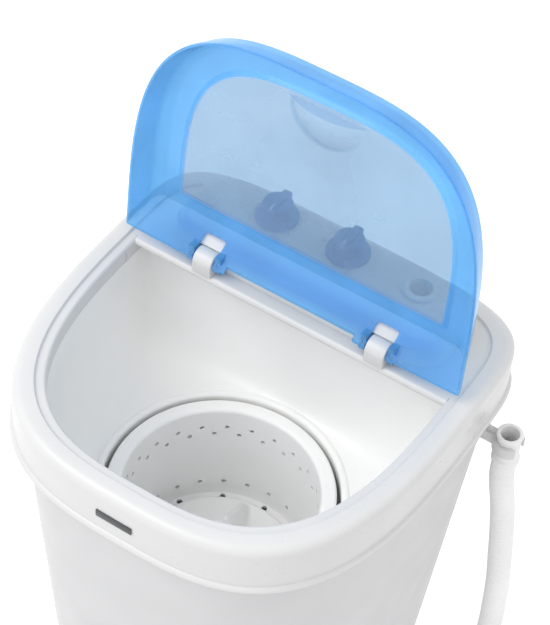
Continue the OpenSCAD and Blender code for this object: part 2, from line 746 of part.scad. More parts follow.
module pulsator_screw() {
    color("silver") translate([0, well_y, pulsator_z + pulsator_h - 13 + seat]) screw(2.5, 16, 7, 3.5);
}

module drive_shaft() {
    top = pulsator_z + pulsator_h - 18.5;
    color("silver") translate([0, well_y, 0]) difference() {
        union() {
            translate([0, 0, belt_z - 24]) cylinder(r = shaft_r, h = top - belt_z + 24);
            translate([0, 0, carrier_z]) cylinder(r = 42, h = carrier_t);
            translate([0, 0, carrier_z - 2]) cylinder(r = shaft_r + 3, h = 3);
        }
        translate([0, 0, top - 13]) cylinder(r = 2.6, h = 20);
    }
}

module shaft_seal() {
    color("dimgray") translate([0, well_y, floor_z - well_wall]) rotate_extrude()
        polygon([[shaft_r + 0.3, 0], [seal_r - 0.05, 0], [seal_r - 0.05, well_wall + 0.2],
            [seal_r - 3, well_wall + 2.6], [shaft_r + 0.3, well_wall + 2.6]]);
}

// Bearing under the tub

housing_r = 20;
housing_flange_r = 34;
housing_screw_r = 2;
housing_drop = 64;
bush_r = shaft_r + 3;
housing_top = floor_z - well_wall - seat;

module housing_places() {
    for (i = [0 : 2]) translate([0, well_y, housing_top]) rotate([0, 0, 30 + 120 * i])
        translate([housing_flange_r - 7, 0, 0]) children();
}

module bearing_housing() {
    color("lightgray") difference() {
        translate([0, well_y, housing_top]) rotate_extrude()
            polygon([[bush_r, 0], [housing_flange_r, 0], [housing_flange_r, -6], [housing_r + 3, -6],
                [housing_r, -10], [housing_r, -housing_drop], [bush_r, -housing_drop]]);
        housing_places() translate([0, 0, -7]) cylinder(r = housing_screw_r + shank_gap, h = 9);
    }
}

module housing_screws() {
    color("silver") housing_places() translate([0, 0, -6 - seat]) mirror([0, 0, 1])
        screw(housing_screw_r, 7.8, 3.8, 2.2);
}

module shaft_bushes() {
    color("gold") for (z = [housing_top - 18, housing_top - housing_drop])
        translate([0, well_y, z]) tube(bush_r - 0.02, shaft_r + run, 18);
}

// Steel plate that hangs the motor under the tub

plate_t = 2.5;
plate_top = floor_z - well_wall - tub_boss_h - seat;
plate_bolt_r = 2.5;
motor_bolt_r = 2.5;
motor_bolt_d = core_w / 2 - 8;
motor_x = belt_centres * cos(motor_turn);
motor_y = well_y + belt_centres * sin(motor_turn);

module at_motor(z = 0) {
    translate([motor_x, motor_y, z]) rotate([0, 0, motor_turn]) children();
}

module motor_corners() {
    at_motor() both_sides() for (end = [-1, 1]) translate([motor_bolt_d, end * motor_bolt_d, 0]) children();
}

module drive_plate() {
    half = core_w / 2 + 4;
    color("darkgray") difference() {
        translate([0, 0, plate_top - plate_t]) linear_extrude(height = plate_t) {
            translate([0, well_y]) circle(r = tub_boss_reach + 10);
            translate([0, well_y]) rotate(motor_turn) translate([0, -half])
                square([belt_centres + half, 2 * half]);
        }
        translate([0, well_y, 0]) cylinder(r = housing_r + 0.3, h = rim_h);
        tub_bosses() translate([0, 0, -20]) cylinder(r = plate_bolt_r + shank_gap, h = 40);
        motor_corners() cylinder(r = motor_bolt_r + shank_gap, h = rim_h);
        at_motor() cylinder(r = 12, h = rim_h);
    }
}

module plate_bolts() {
    color("silver") tub_bosses() translate([0, 0, -plate_t - 2 * seat]) mirror([0, 0, 1])
        screw(plate_bolt_r, 12, 4.5, 3.2);
}

// Pulleys and belt

belt_t = 6;
belt_h = 8;
belt_gap = 0.3;
groove_h = belt_h + 2 * belt_gap;
flange_h = 3;

// A flat-grooved pulley whose belt runs at its pitch radius, with its groove's middle at the origin
module pulley(pitch_r, bore_r, hub_h) {
    floor_r = pitch_r - belt_t / 2 - belt_gap;
    half = groove_h / 2 + flange_h;
    difference() {
        union() {
            rotate_extrude($fn = 96) polygon([[0, -half], [floor_r + belt_t, -half],
                [floor_r + belt_t + 1, -groove_h / 2], [floor_r, -groove_h / 2], [floor_r, groove_h / 2],
                [floor_r + belt_t + 1, groove_h / 2], [floor_r + belt_t, half], [0, half]]);
            translate([0, 0, half - 1]) cylinder(r = bore_r + 5, h = hub_h - half + 1);
        }
        translate([0, 0, -40]) cylinder(r = bore_r + 0.02, h = 80);
    }
}

module drive_pulley() {
    color("lightgray") translate([0, well_y, belt_z]) difference() {
        pulley(pulley_r, shaft_r, 16);
        for (a = [0 : 60 : 300]) rotate([0, 0, a]) translate([(pulley_r + shaft_r) / 2, 0, -20])
            cylinder(r = (pulley_r - shaft_r) / 2 - 15, h = 40);
    }
}

module pulley_nut() {
    color("silver") translate([0, well_y, belt_z - groove_h / 2 - flange_h - seat - 5]) difference() {
        cylinder(r = shaft_r + 4, h = 5, $fn = 6);
        translate([0, 0, -1]) cylinder(r = shaft_r + 0.02, h = 7);
    }
}

// The belt's outline, for either of its faces: an arc round each pulley, joined by straight runs
function belt_outline(offset_r) = let (big = pulley_r + offset_r, small = motor_pulley_r + offset_r,
    turn = acos((big - small) / belt_centres))
    concat(arc([0, 0], big, turn, 360 - turn, 40), arc([belt_centres, 0], small, -turn, turn, 16));

module drive_belt() {
    color("dimgray") translate([0, well_y, belt_z - belt_h / 2]) rotate([0, 0, motor_turn])
        linear_extrude(height = belt_h) difference() {
            polygon(belt_outline(belt_t / 2));
            polygon(belt_outline(-belt_t / 2));
        }
}

// Motor

rotor_r = 26.5;
motor_shaft_r = 5;
bell_r = core_w / 2 - 3;
bell_h = 24;
core_z = plate_top - plate_t - bell_h - core_h - 4;
motor_bush_r = 9;

module motor_pulley() {
    color("lightgray") at_motor(belt_z) pulley(motor_pulley_r, motor_shaft_r, 14);
}

module motor_rotor() {
    low = belt_z - groove_h / 2 - flange_h - 2;
    color("silver") at_motor() {
        translate([0, 0, low]) cylinder(r = motor_shaft_r, h = core_z + core_h + bell_h - 1 - low);
        translate([0, 0, core_z + 1]) cylinder(r = rotor_r, h = core_h - 2);
    }
}

module motor_core() {
    color("darkgray") difference() {
        at_motor(core_z) intersection() {
            translate([-core_w / 2, -core_w / 2, 0]) cube([core_w, core_w, core_h]);
            cylinder(r = core_w / 2 + 13, h = core_h);
        }
        at_motor() cylinder(r = rotor_r + 0.5, h = rim_h);
        motor_corners() cylinder(r = motor_bolt_r + shank_gap, h = rim_h);
    }
}

// A cup over one end of the core, open towards it
module bell() {
    difference() {
        cylinder(r = bell_r, h = bell_h);
        translate([0, 0, -1]) cylinder(r = bell_r - 2.5, h = bell_h - 2);
        translate([0, 0, -1]) cylinder(r = motor_bush_r, h = bell_h + 2);
        for (a = [0 : 45 : 315]) rotate([0, 0, a]) translate([bell_r - 6, -4, 6]) cube([12, 8, 9]);
    }
    translate([0, 0, bell_h - 10]) tube(motor_bush_r + 3, motor_bush_r, 10);
}

module motor_bells() {
    color("lightgray") at_motor() {
        translate([0, 0, core_z + core_h + seat]) bell();
        translate([0, 0, core_z - seat]) mirror([0, 0, 1]) bell();
    }
}

module motor_windings() {
    color("chocolate") at_motor() for (z = [core_z + core_h + seat, core_z - seat - 12]) translate([0, 0, z])
        tube(bell_r - 3.2, rotor_r + 2, 12);
}

module motor_bushes() {
    color("gold") at_motor() for (z = [core_z + core_h + seat + bell_h - 10, core_z - seat - bell_h])
        translate([0, 0, z]) tube(motor_bush_r - 0.02, motor_shaft_r + run, 10);
}

module motor_mounts() {
    top = plate_top - plate_t - seat;
    color("dimgray") motor_corners() translate([0, 0, core_z + core_h + seat])
        tube(5.5, motor_bolt_r + seat, top - core_z - core_h - seat);
}

module motor_bolts() {
    length = plate_top + seat - core_z + 8;
    color("silver") motor_corners() {
        translate([0, 0, plate_top + seat]) screw(motor_bolt_r, length, 4.5, 3);
        translate([0, 0, core_z - seat - 4]) tube(4.5, motor_bolt_r, 4);
    }
}

// Capacitor on the base

cap_place = [80, -55];
cap_r = 18;
cap_h = 62;
cap_screw_r = 2;
cap_lug_y = cap_r + 9;

module capacitor() {
    color("lightgray") translate([cap_place.x, cap_place.y, foot_h + wall + seat]) {
        cylinder(r = cap_r, h = cap_h);
        for (s = [-1, 1]) translate([s * 6 - 1, -3, cap_h - 1]) cube([1, 6, 9]);
    }
}

module capacitor_strap() {
    base = foot_h + wall + seat;
    color("silver") translate([cap_place.x, cap_place.y, 0]) {
        translate([0, 0, base + 24]) tube(cap_r + seat + 1.5, cap_r + seat, 12);
        translate([-6, -cap_r - seat - 2.9, base]) cube([12, 1.5, 36]);
        difference() {
            translate([-6, -cap_lug_y - 6, base]) cube([12, 13, 1.5]);
            translate([0, -cap_lug_y, 0]) cylinder(r = cap_screw_r + shank_gap, h = rim_h);
        }
        translate([0, -cap_lug_y, base + 1.5]) screw(cap_screw_r, 10, 4, 2.4);
    }
}

// Drain: a moulded pipe to the side of the body, an elbow outside, and the hose up to its clip

pipe_r = 12;
pipe_bore_r = 9.5;
bend_r = 24;

// A quarter or part bend from heading +Z, turning towards +X, starting at the origin
module bend(angle, r_out, r_in) {
    translate([bend_r, 0, 0]) rotate([90, 0, 180]) rotate_extrude(angle = angle) translate([bend_r, 0])
        difference() {
            circle(r = r_out);
            circle(r = r_in);
        }
}

outlet_x = body_side(pipe_z, pipe_y, 0) - 8;

module drain_pipe() {
    nozzle_r = port_r + 3 + 0.1;
    nozzle_z = floor_z - well_wall - 19;
    drop = nozzle_z - 4 - pipe_z - bend_r;
    color("lightgray") union() {
        translate([port_x, port_y, nozzle_z - 3]) tube(nozzle_r + 2.5, nozzle_r, 18);
        translate([port_x, port_y, nozzle_z - 6]) tube(nozzle_r + 2.5, pipe_bore_r, 4);
        translate([port_x, port_y, pipe_z + bend_r]) tube(pipe_r, pipe_bore_r, drop);
        translate([port_x, port_y, pipe_z + bend_r]) mirror([0, 0, 1]) rotate([0, 0, 90])
            bend(90, pipe_r, pipe_bore_r);
        translate([port_x, port_y + bend_r, pipe_z]) rotate([-90, 0, 0])
            tube(pipe_r, pipe_bore_r, pipe_y - port_y - 2 * bend_r);
        translate([port_x, pipe_y - bend_r, pipe_z]) rotate([-90, 0, 0]) bend(90, pipe_r, pipe_bore_r);
        translate([port_x + bend_r, pipe_y, pipe_z]) rotate([0, 90, 0])
            tube(pipe_r, pipe_bore_r, outlet_x - port_x - bend_r);
    }
}

// The elbow's far end stands where the hose route starts
module outlet_elbow() {
    start_x = hose_route[0].x - 6 - bend_r * sin(45);
    color("lightgray") {
        translate([outlet_x + seat, pipe_y, pipe_z]) rotate([0, 90, 0])
            tube(outlet_hole_r - 0.1, pipe_bore_r, start_x - outlet_x - seat + 0.01);
        translate([outlet_face_x + seat, pipe_y, pipe_z]) rotate([0, 90, 0]) tube(18, pipe_bore_r, 4);
        translate([start_x, pipe_y, pipe_z]) rotate([0, 90, 0]) rotate([0, 0, 180])
            bend(45, outlet_hole_r - 0.1, pipe_bore_r);
        translate([hose_route[0].x, pipe_y, hose_route[0].z]) rotate([0, 45, 0]) translate([0, 0, -10])
            tube(outlet_hole_r + 0.6, hose_bore_r, 10 - seat);
    }
}

// The hose's route, bottom to top. It is stretched upwards to end below its clip.
hose_points = [[181, 110, 75], [197, 110, 91], [213, 112, 109], [225, 114, 131], [232, 116, 158],
    [235, 118, 189], [236, 120, 222], [235, 121, 257], [233, 122, 293], [229, 123, 329], [225, 124, 364],
    [220, 125, 399], [215, 125, 425], [212, 125, 446], [212, 125, 467]];
hose_low = hose_points[0].z;
hose_rise = (clip_z - 17 - hose_low) / (hose_points[len(hose_points) - 1].z - hose_low);
hose_route = [for (p = hose_points) [p.x, p.y, hose_low + (p.z - hose_low) * hose_rise]];

function route_point(i, u) = let (last = len(hose_route) - 1, b = hose_route[i], c = hose_route[i + 1],
    a = i > 0 ? hose_route[i - 1] : 2 * b - c, d = i + 1 < last ? hose_route[i + 2] : 2 * c - b)
    (2 * b + (c - a) * u + (2 * a - 5 * b + 4 * c - d) * u * u + (3 * b - a - 3 * c + d) * u * u * u) / 2;

function unit(v) = v / norm(v);

// A ring of points round the route, square to it
function hose_ring(i, u, r) = let (p = route_point(i, u), sides = 8,
    along = unit(route_point(i, u + 0.01) - route_point(i, u - 0.01)),
    side = unit(cross([0, 1, 0], along)), up = cross(along, side))
    [for (k = [0 : sides - 1]) p + r * (cos(360 * k / sides) * side + sin(360 * k / sides) * up)];

module drain_hose() {
    last = len(hose_route) - 2;
    root_r = hose_r - 1.4;
    ribs = [for (i = [0 : last]) round(norm(hose_route[i + 1] - hose_route[i]) / rib_pitch)];
    plain_end = [for (i = [0 : last]) i == 0 || i == last];
    outer = [for (i = [0 : last]) each plain_end[i]
        ? [hose_ring(i, 0, hose_r), if (i == last) hose_ring(i, 1, hose_r)]
        : [for (k = [0 : 2 * ribs[i] - 1]) hose_ring(i, k / (2 * ribs[i]), k % 2 == 0 ? root_r : hose_r)]];
    inner = [for (i = [last : -1 : 0]) each [if (i == last) hose_ring(i, 1, hose_bore_r),
        if (!plain_end[i]) hose_ring(i, 0.5, hose_bore_r), hose_ring(i, 0, hose_bore_r)]];
    color("gainsboro") loft(concat(outer, inner));
}

cuff_base = hose_route[len(hose_route) - 1];
cuff_r = hose_bore_r + 2.6;
cuff_h = 36;

module hose_cuff() {
    color("lightgray") translate(cuff_base + [0, 0, seat]) rotate_extrude()
        polygon([[hose_bore_r, 0], [cuff_r + 1.8, 0], [cuff_r + 1.8, 5], [cuff_r, 6.5],
            [cuff_r, cuff_h - 4], [cuff_r + 1.2, cuff_h - 2.5], [cuff_r + 1.2, cuff_h - 1],
            [cuff_r + 0.4, cuff_h], [hose_bore_r, cuff_h]]);
}

// A screwed-on arm with an open ring that the cuff snaps into
module hose_clip() {
    ring_z = cuff_base.z + 16;
    ring_h = 12;
    ring_r = cuff_r + 3.4;
    arm_x = body_side(clip_z, clip_y, 0) + 2;
    reach = cuff_base.x - arm_x;
    mouth = 2 * cuff_r - 5;
    pad = [3, 28, 26];
    color(white) difference() {
        union() {
            at_clip() translate([seat, -pad.y / 2, 0]) cube(pad + [seat, 0, 0]);
            translate([arm_x, clip_y - 5, ring_z]) cube([reach - 2, 10, ring_h]);
            translate([arm_x, clip_y + 1.5, ring_z + ring_h - 1]) rotate([90, 0, 0])
                linear_extrude(height = 3) polygon([[0, 0], [reach - cuff_r - 1, 0], [0.5, 11]]);
            translate([cuff_base.x, cuff_base.y, ring_z]) cylinder(r = ring_r, h = ring_h);
        }
        translate([cuff_base.x, cuff_base.y, ring_z - 1]) cylinder(r = cuff_r + seat, h = ring_h + 2);
        translate([cuff_base.x, cuff_base.y - mouth / 2, ring_z - 1]) cube([2 * ring_r, mouth, ring_h + 2]);
        clip_screw_axes() translate([0, 0, -10]) cylinder(r = clip_screw_r + shank_gap, h = 30);
    }
}

module clip_screws() {
    color("silver") clip_screw_axes() translate([0, 0, 3.3 + seat]) screw(clip_screw_r, 10, 3.2, 2);
}

outer_shell();
base_pan();
rubber_feet();
base_screws();
cord_gland();
top_frame();
name_plate();
console_panel();
console_screws();
wash_timer();
timer_spindle();
wash_timer_knob();
mode_switch();
mode_spindle();
mode_knob();
inlet_chute();
lid_shell();
hinge_pins();
inner_tub();
tub_screws();
drain_grate();
spin_basket();
pulsator();
pulsator_screw();
drive_shaft();
shaft_seal();
bearing_housing();
housing_screws();
shaft_bushes();
drive_plate();
plate_bolts();
drive_pulley();
pulley_nut();
drive_belt();
motor_pulley();
motor_rotor();
motor_core();
motor_bells();
motor_windings();
motor_bushes();
motor_mounts();
motor_bolts();
capacitor();
capacitor_strap();
drain_pipe();
outlet_elbow();
drain_hose();
hose_cuff();
hose_clip();
clip_screws();
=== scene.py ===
"""The finish and the moulded detail of a mini washing machine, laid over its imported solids."""

import math

import bmesh
import bpy
from mathutils import Matrix, Vector


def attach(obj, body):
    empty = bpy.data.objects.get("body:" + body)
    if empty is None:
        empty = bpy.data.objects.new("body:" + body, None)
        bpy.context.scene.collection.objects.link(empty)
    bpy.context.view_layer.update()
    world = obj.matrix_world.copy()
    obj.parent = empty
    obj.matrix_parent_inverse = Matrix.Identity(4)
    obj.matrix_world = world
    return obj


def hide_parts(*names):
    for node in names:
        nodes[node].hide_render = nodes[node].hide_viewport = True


bl_info = {
    "name": "Mini washing machine",
    "version": (1, 0, 0),
    "blender": (4, 5, 0),
    "location": "3D View > Sidebar > Washer",
    "description": "Dresses a small top-loading washing machine piece by piece",
    "category": "Object",
}

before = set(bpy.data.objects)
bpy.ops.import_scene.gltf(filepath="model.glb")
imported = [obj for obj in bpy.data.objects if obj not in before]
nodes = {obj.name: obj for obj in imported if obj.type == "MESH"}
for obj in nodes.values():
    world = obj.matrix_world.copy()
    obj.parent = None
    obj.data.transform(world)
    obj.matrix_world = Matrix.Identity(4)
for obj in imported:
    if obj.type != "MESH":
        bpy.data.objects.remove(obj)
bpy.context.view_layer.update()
MM = 0.001

# Shared places, in millimetres as the machine's drawing gives them
RIM_W, RIM_FRONT, RIM_BACK, RIM_H = 390.0, 268.0, 122.0, 580.0
SKIRT_Z = 523.0
WALL = 3.0
HINGE_Y, HINGE_Z = 73.0, 589.0
HINGE_X, LUG_W, LUG_R, PIN_R = 93.0, 20.0, 10.5, 2.5
DECK_Z, DECK_T, DECK_FRONT, NOSE_R = 577.2, 4.2, 63.0, 4.5
TUB_TOP = 559.0
MOUTH_IN = 27.5
WELL_Y, WELL_R, WELL_Z, FLOOR_Z = -30.0, 113.0, 423.0, 285.0
DRAIN_PORT, BOSS_REACH, BOSS_TURN = (38.23, 55.87), 62.0, 181.0
BASKET_R, BASKET_RING_R, BASKET_FLOOR = 94.0, 109.0, 296.15
PULSATOR_Z, PULSATOR_R = 298.8, 80.0
SHELL_TOP_W, SHELL_FOOT_W, SHELL_TOP_Z, SHELL_FOOT_Z = 376.0, 299.0, 555.85, 14.15
LID_HALF_W, LID_DEPTH, LID_CORNER, LID_OPEN = 179.0, 263.0, 3.0, 93.4
LID_REAR_Y, LID_EDGE_Z, LID_RISE, LID_SLOPE = 72.0, 580.3, 33.0, 23.0
WINDOW_DROP, GRIP_Y, GRIP_DEPTH = 2.5, -137.0, 11.0
CONSOLE_Y, CONSOLE_HALF_W, CONSOLE_HALF_D = 126.5, 146.0, 48.5
CONSOLE_TOP, CONSOLE_SIDE, CONSOLE_FOOT, BEVEL_W = 603.34, 598.45, 577.35, 8.0
CONTROL_Y, CONTROL_X = 145.0, (-64.0, 14.0, 92.0)
KNOB_R, KNOB_H = 21.0, 22.0
PIPE_Y, PIPE_Z, HOSE_BORE = 110.0, 62.0, 9.0
GLAND_X, GLAND_Z = -70.0, 60.0
AROUND = 144

# How sharply each outline turns its corners, in front and behind
BODY_FRONT, BODY_BACK = 3.0, 4.8
LID_FRONT, LID_BACK = 3.3, 6.0
CONSOLE_TURN = 5.0

HOSE_ROUTE = (
    (181, 110, 75), (197, 110, 91), (213, 112, 109), (225, 114, 131), (232, 116, 158),
    (235, 118, 189), (236, 120, 222), (235, 121, 257), (233, 122, 293), (229, 123, 329),
    (225, 124, 364), (220, 125, 399), (215, 125, 425), (212, 125, 446), (212, 125, 467),
)


def size_prop(name, description, default, low, high):
    return bpy.props.FloatProperty(
        name=name, description=description, default=default, min=low, max=high, unit="LENGTH"
    )


def colour_prop(name, description, default):
    return bpy.props.FloatVectorProperty(
        name=name, description=description, default=default, size=3, subtype="COLOR"
    )


class WasherSizes(bpy.types.PropertyGroup):
    """Sizes that a user may change."""

    lid_wall: size_prop("Lid wall", "Thickness of the clear lid", 0.0026, 0.001, 0.004)
    border: size_prop("Lid border", "Width of the lid's border beside its window", 0.038, 0.034, 0.042)
    recess: size_prop("Finger recess", "Radius of the finger recess", 0.037, 0.030, 0.040)
    rib_pitch: size_prop("Hose ribs", "Spacing of the ribs along the drain hose", 0.005, 0.003, 0.008)
    hose_r: size_prop("Hose radius", "Outer radius of the drain hose over its ribs", 0.012, 0.0105, 0.0125)
    blades: bpy.props.IntProperty(
        name="Pulsator blades", description="Blades on the pulsator", default=4, min=3, max=6
    )


class WasherColours(bpy.types.PropertyGroup):
    """Colours that a user may change."""

    shell: colour_prop("Body", "Colour of the body shell", (0.62, 0.62, 0.63))
    rim: colour_prop("Rim", "Colour of the rim, deck and panel", (0.68, 0.68, 0.68))
    # Painted light: the tub's white is set far lighter than the body's and rim's, so that the tub, basket and
    # pulsator, in shade inside the mouth, still read bright.
    tub: colour_prop("Tub", "Colour of the tub and basket", (0.94, 0.94, 0.93))
    lid: colour_prop("Lid", "Colour of the clear lid", (0.20, 0.52, 0.90))
    window: colour_prop("Window", "Colour of the lid's window", (0.36, 0.50, 0.66))
    knobs: colour_prop("Knobs", "Colour of the knobs", (0.03, 0.20, 0.50))
    # Painted light: the hose's colour is set lighter than the body's white, so that the hose still reads pale
    # in the shade beside the body.
    hose: colour_prop("Hose", "Colour of the drain hose", (0.90, 0.90, 0.90))


class StageLight(bpy.types.PropertyGroup):
    """The plain studio round the machine."""

    fill: bpy.props.FloatProperty(
        name="Fill", description="Strength of the even light from all sides", default=1.0, min=0.0, max=2.0
    )
    key: bpy.props.FloatProperty(
        name="Key", description="Power of the soft lamp above the front", default=20.0, min=0.0, max=200.0,
        subtype="POWER"
    )


# Working in the viewport's way


def clear_selection():
    if bpy.context.object and bpy.context.object.mode != "OBJECT":
        bpy.ops.object.mode_set(mode="OBJECT")
    bpy.ops.object.select_all(action="DESELECT")


def pick(*objs):
    clear_selection()
    for obj in objs:
        obj.select_set(True)
    bpy.context.view_layer.objects.active = objs[-1]


def edit(obj):
    pick(obj)
    bpy.ops.object.mode_set(mode="EDIT")


def done(obj, angle=35.0):
    """Leaves edit mode, puts the place into the mesh and shades it."""
    if obj.mode != "OBJECT":
        bpy.ops.object.mode_set(mode="OBJECT")
    pick(obj)
    bpy.ops.object.transform_apply(location=True, rotation=True, scale=True)
    bpy.ops.object.shade_smooth_by_angle(angle=math.radians(angle))
    return obj


def named(obj, name):
    obj.name = name
    obj.data.name = name
    return obj


def apply(obj, kind, **settings):
    """Puts a modifier on a piece and applies it."""
    pick(obj)
    made = obj.modifiers.new(kind.title(), kind)
    for key, value in settings.items():
        setattr(made, key, value)
    bpy.ops.object.modifier_apply(modifier=made.name)
    return obj


def soften(obj, width, segments=2, angle=40.0):
    """Rounds the sharp edges of a piece."""
    return apply(
        obj, "BEVEL", width=width * MM, segments=segments, limit_method="ANGLE",
        angle_limit=math.radians(angle), use_clamp_overlap=True,
    )


def cut(obj, cutter, operation="DIFFERENCE"):
    """Cuts one piece with another, or joins them into one skin, and drops the tool."""
    apply(obj, "BOOLEAN", object=cutter, operation=operation, solver="EXACT")
    bpy.data.objects.remove(cutter)
    return obj


def choose(test, kind="VERT"):
    """In edit mode, selects the vertices, edges or faces that a test picks."""
    bpy.ops.mesh.select_all(action="DESELECT")
    bpy.ops.mesh.select_mode(type=kind)
    mesh = bmesh.from_edit_mesh(bpy.context.object.data)
    parts = {"VERT": mesh.verts, "EDGE": mesh.edges, "FACE": mesh.faces}[kind]
    for part in parts:
        part.select = test(part)
    mesh.select_flush_mode()
    bmesh.update_edit_mesh(bpy.context.object.data)


def loft(name, rings, closed=False, cap_first=False, cap_last=False):
    """Sets an added circle on the first ring and extrudes it from ring to ring. Rings are in millimetres."""
    clear_selection()
    bpy.ops.mesh.primitive_circle_add(vertices=len(rings[0]), radius=1)
    obj = named(bpy.context.object, name)
    bpy.ops.object.mode_set(mode="EDIT")
    row = place_row(obj, None, rings[0])
    first = row
    for ring in rings[1:]:
        bpy.ops.mesh.extrude_edges_move()
        row = place_row(obj, row, ring)
    last = row
    mesh = bmesh.from_edit_mesh(obj.data)
    mesh.verts.ensure_lookup_table()

    def only(*rows):
        bpy.ops.mesh.select_all(action="DESELECT")
        again = bmesh.from_edit_mesh(obj.data)
        again.verts.ensure_lookup_table()
        for chosen in rows:
            for index in chosen:
                again.verts[index].select = True
        again.select_flush_mode()
        bmesh.update_edit_mesh(obj.data)

    bpy.ops.mesh.select_mode(type="VERT")
    if closed:
        only(first, last)
        bpy.ops.mesh.bridge_edge_loops()
    for wanted, chosen in ((cap_first, first), (cap_last, last)):
        if wanted:
            only(chosen)
            bpy.ops.mesh.edge_face_add()
    bpy.ops.mesh.select_all(action="SELECT")
    bpy.ops.mesh.normals_make_consistent(inside=False)
    bpy.ops.object.mode_set(mode="OBJECT")
    return obj


def place_row(obj, before, ring):
    """Sets the selected row of vertices on a ring, in the order of the row that it was extruded from."""
    mesh = bmesh.from_edit_mesh(obj.data)
    mesh.verts.ensure_lookup_table()
    if before is None:
        row = [v.index for v in mesh.verts]
    else:
        spots = {tuple(round(c, 7) for c in mesh.verts[i].co): k for k, i in enumerate(before)}
        row = [0] * len(before)
        for v in mesh.verts:
            if v.select:
                row[spots[tuple(round(c, 7) for c in v.co)]] = v.index
    for index, spot in zip(row, ring):
        mesh.verts[index].co = Vector(spot) * MM
    bmesh.update_edit_mesh(obj.data)
    return row


def outline(half_w, front, back, mid_y, nf=BODY_FRONT, nb=BODY_BACK, count=AROUND):
    """A closed, squarish oval, widest on the line y = mid_y."""
    ring = []
    for i in range(count):
        t = 2 * math.pi * i / count
        c, s = math.cos(t), math.sin(t)
        e = 2 / (nb if s > 0 else nf)
        ring.append((
            half_w * math.copysign(abs(c) ** e, c),
            mid_y + (back if s > 0 else front) * math.copysign(abs(s) ** e, s),
        ))
    return ring


def at(ring, z):
    return [(x, y, z) for x, y in ring]


def eased(points, radius, steps=4):
    """Rounds the corners of an open section, and leaves out its two ends."""
    smooth = []
    for before, spot, after in zip(points, points[1:], points[2:]):
        here = Vector(spot)
        a, b = Vector(before) - here, Vector(after) - here
        reach = min(radius, a.length * 0.45, b.length * 0.45)
        start, end = here + a.normalized() * reach, here + b.normalized() * reach
        for k in range(steps + 1):
            u = k / steps
            smooth.append(tuple(start * (1 - u) ** 2 + here * 2 * u * (1 - u) + end * u * u))
    return smooth


def arc(cx, cy, r, start, end, steps):
    """Points along an arc between two angles in degrees."""
    return [
        (cx + r * math.cos(math.radians(start + (end - start) * i / steps)),
         cy + r * math.sin(math.radians(start + (end - start) * i / steps)))
        for i in range(steps + 1)
    ]


def circle_outline(r, x=0.0, y=0.0, count=64):
    return [(x + r * math.cos(2 * math.pi * i / count), y + r * math.sin(2 * math.pi * i / count))
            for i in range(count)]


def prism(name, shape, low, high, axis="Z"):
    """Draws a closed outline out between two heights. Along X it is read as (y, z), along Y as (x, z)."""
    turn = {
        "Z": lambda u, v, w: (u, v, w), "X": lambda u, v, w: (w, u, v), "Y": lambda u, v, w: (u, w, v),
    }[axis]
    return loft(name, [[turn(u, v, w) for u, v in shape] for w in (low, high)], cap_first=True, cap_last=True)


def block(name, low, high):
    x0, y0, z0 = low
    x1, y1, z1 = high
    return prism(name, [(x0, y0), (x1, y0), (x1, y1), (x0, y1)], z0, z1)


def disc(name, r, low, high, x=0.0, y=0.0, axis="Z", count=64):
    return prism(name, circle_outline(r, x, y, count), low, high, axis)


def revolve(name, section, x=0.0, y=0.0, count=AROUND):
    """Turns a section of (radius, height) points round an upright axis, closed on itself or on the axis."""
    solid = section[0][0] < 1e-6 and section[-1][0] < 1e-6
    if solid:
        section = section[1:-1]
    rings = [at(circle_outline(r, x, y, count), z) for r, z in section]
    return loft(name, rings, closed=not solid, cap_first=solid, cap_last=solid)


def gather(*objs):
    """Joins several tools or pieces into the first one."""
    pick(*reversed(objs))
    bpy.ops.object.join()
    return bpy.context.object


def both_sides(make):
    """Makes a piece on the left, then the same on the right."""
    return [make(side) for side in (-1, 1)]


def at_hinges(name, shape, half):
    """Draws an outline out along X, to a half width, at each of the lid's two hinges."""
    return both_sides(lambda side: prism(name, shape, side * HINGE_X - half, side * HINGE_X + half, "X"))


def spoke(turn):
    """The direction outwards at an angle in radians, and the direction across it."""
    return Vector((math.cos(turn), math.sin(turn))), Vector((-math.sin(turn), math.cos(turn)))


def refined(node, name, width, segments=2, angle=35.0):
    """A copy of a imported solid, merged into one skin, with its edges rounded."""
    pick(nodes[node])
    bpy.ops.object.duplicate()
    obj = named(bpy.context.object, name)
    bpy.ops.object.mode_set(mode="EDIT")
    bpy.ops.mesh.select_all(action="SELECT")
    bpy.ops.mesh.remove_doubles(threshold=2e-6)
    bpy.ops.mesh.dissolve_limited(angle_limit=math.radians(0.6))
    bpy.ops.object.mode_set(mode="OBJECT")
    bpy.ops.mesh.customdata_custom_splitnormals_clear()
    soften(obj, width, segments, angle)
    return done(obj, angle)


# Finishes


def feed(tree, node, values):
    """Sets a node's inputs, or links them where the value is another node's output."""
    for key, value in values.items():
        if isinstance(value, bpy.types.NodeSocket):
            tree.links.new(value, node.inputs[key])
        else:
            node.inputs[key].default_value = value


def add_node(tree, kind, values):
    made = tree.nodes.new("ShaderNode" + kind)
    feed(tree, made, values)
    return made


def new_finish(name):
    """A new material with its tree, its main shader and the places on the piece that wears it."""
    made = bpy.data.materials.new(name)
    made.use_nodes = True
    tree = made.node_tree
    spot = tree.nodes.new("ShaderNodeTexCoord").outputs["Object"]
    return made, tree, tree.nodes["Principled BSDF"], spot


def noise(tree, source, scale, detail=3.0, rough=0.5, stretch=None):
    """A cloudy pattern, drawn out along an axis where it is stretched."""
    if stretch:
        source = add_node(tree, "Mapping", {"Scale": stretch, "Vector": source}).outputs["Vector"]
    values = {"Scale": scale, "Detail": detail, "Roughness": rough, "Vector": source}
    return add_node(tree, "TexNoise", values).outputs["Fac"]


def roughen(tree, shader, source, low, high):
    """Spreads a pattern between two roughnesses."""
    values = {"From Min": 0.3, "From Max": 0.7, "To Min": low, "To Max": high, "Value": source}
    feed(tree, shader, {"Roughness": add_node(tree, "MapRange", values).outputs["Result"]})


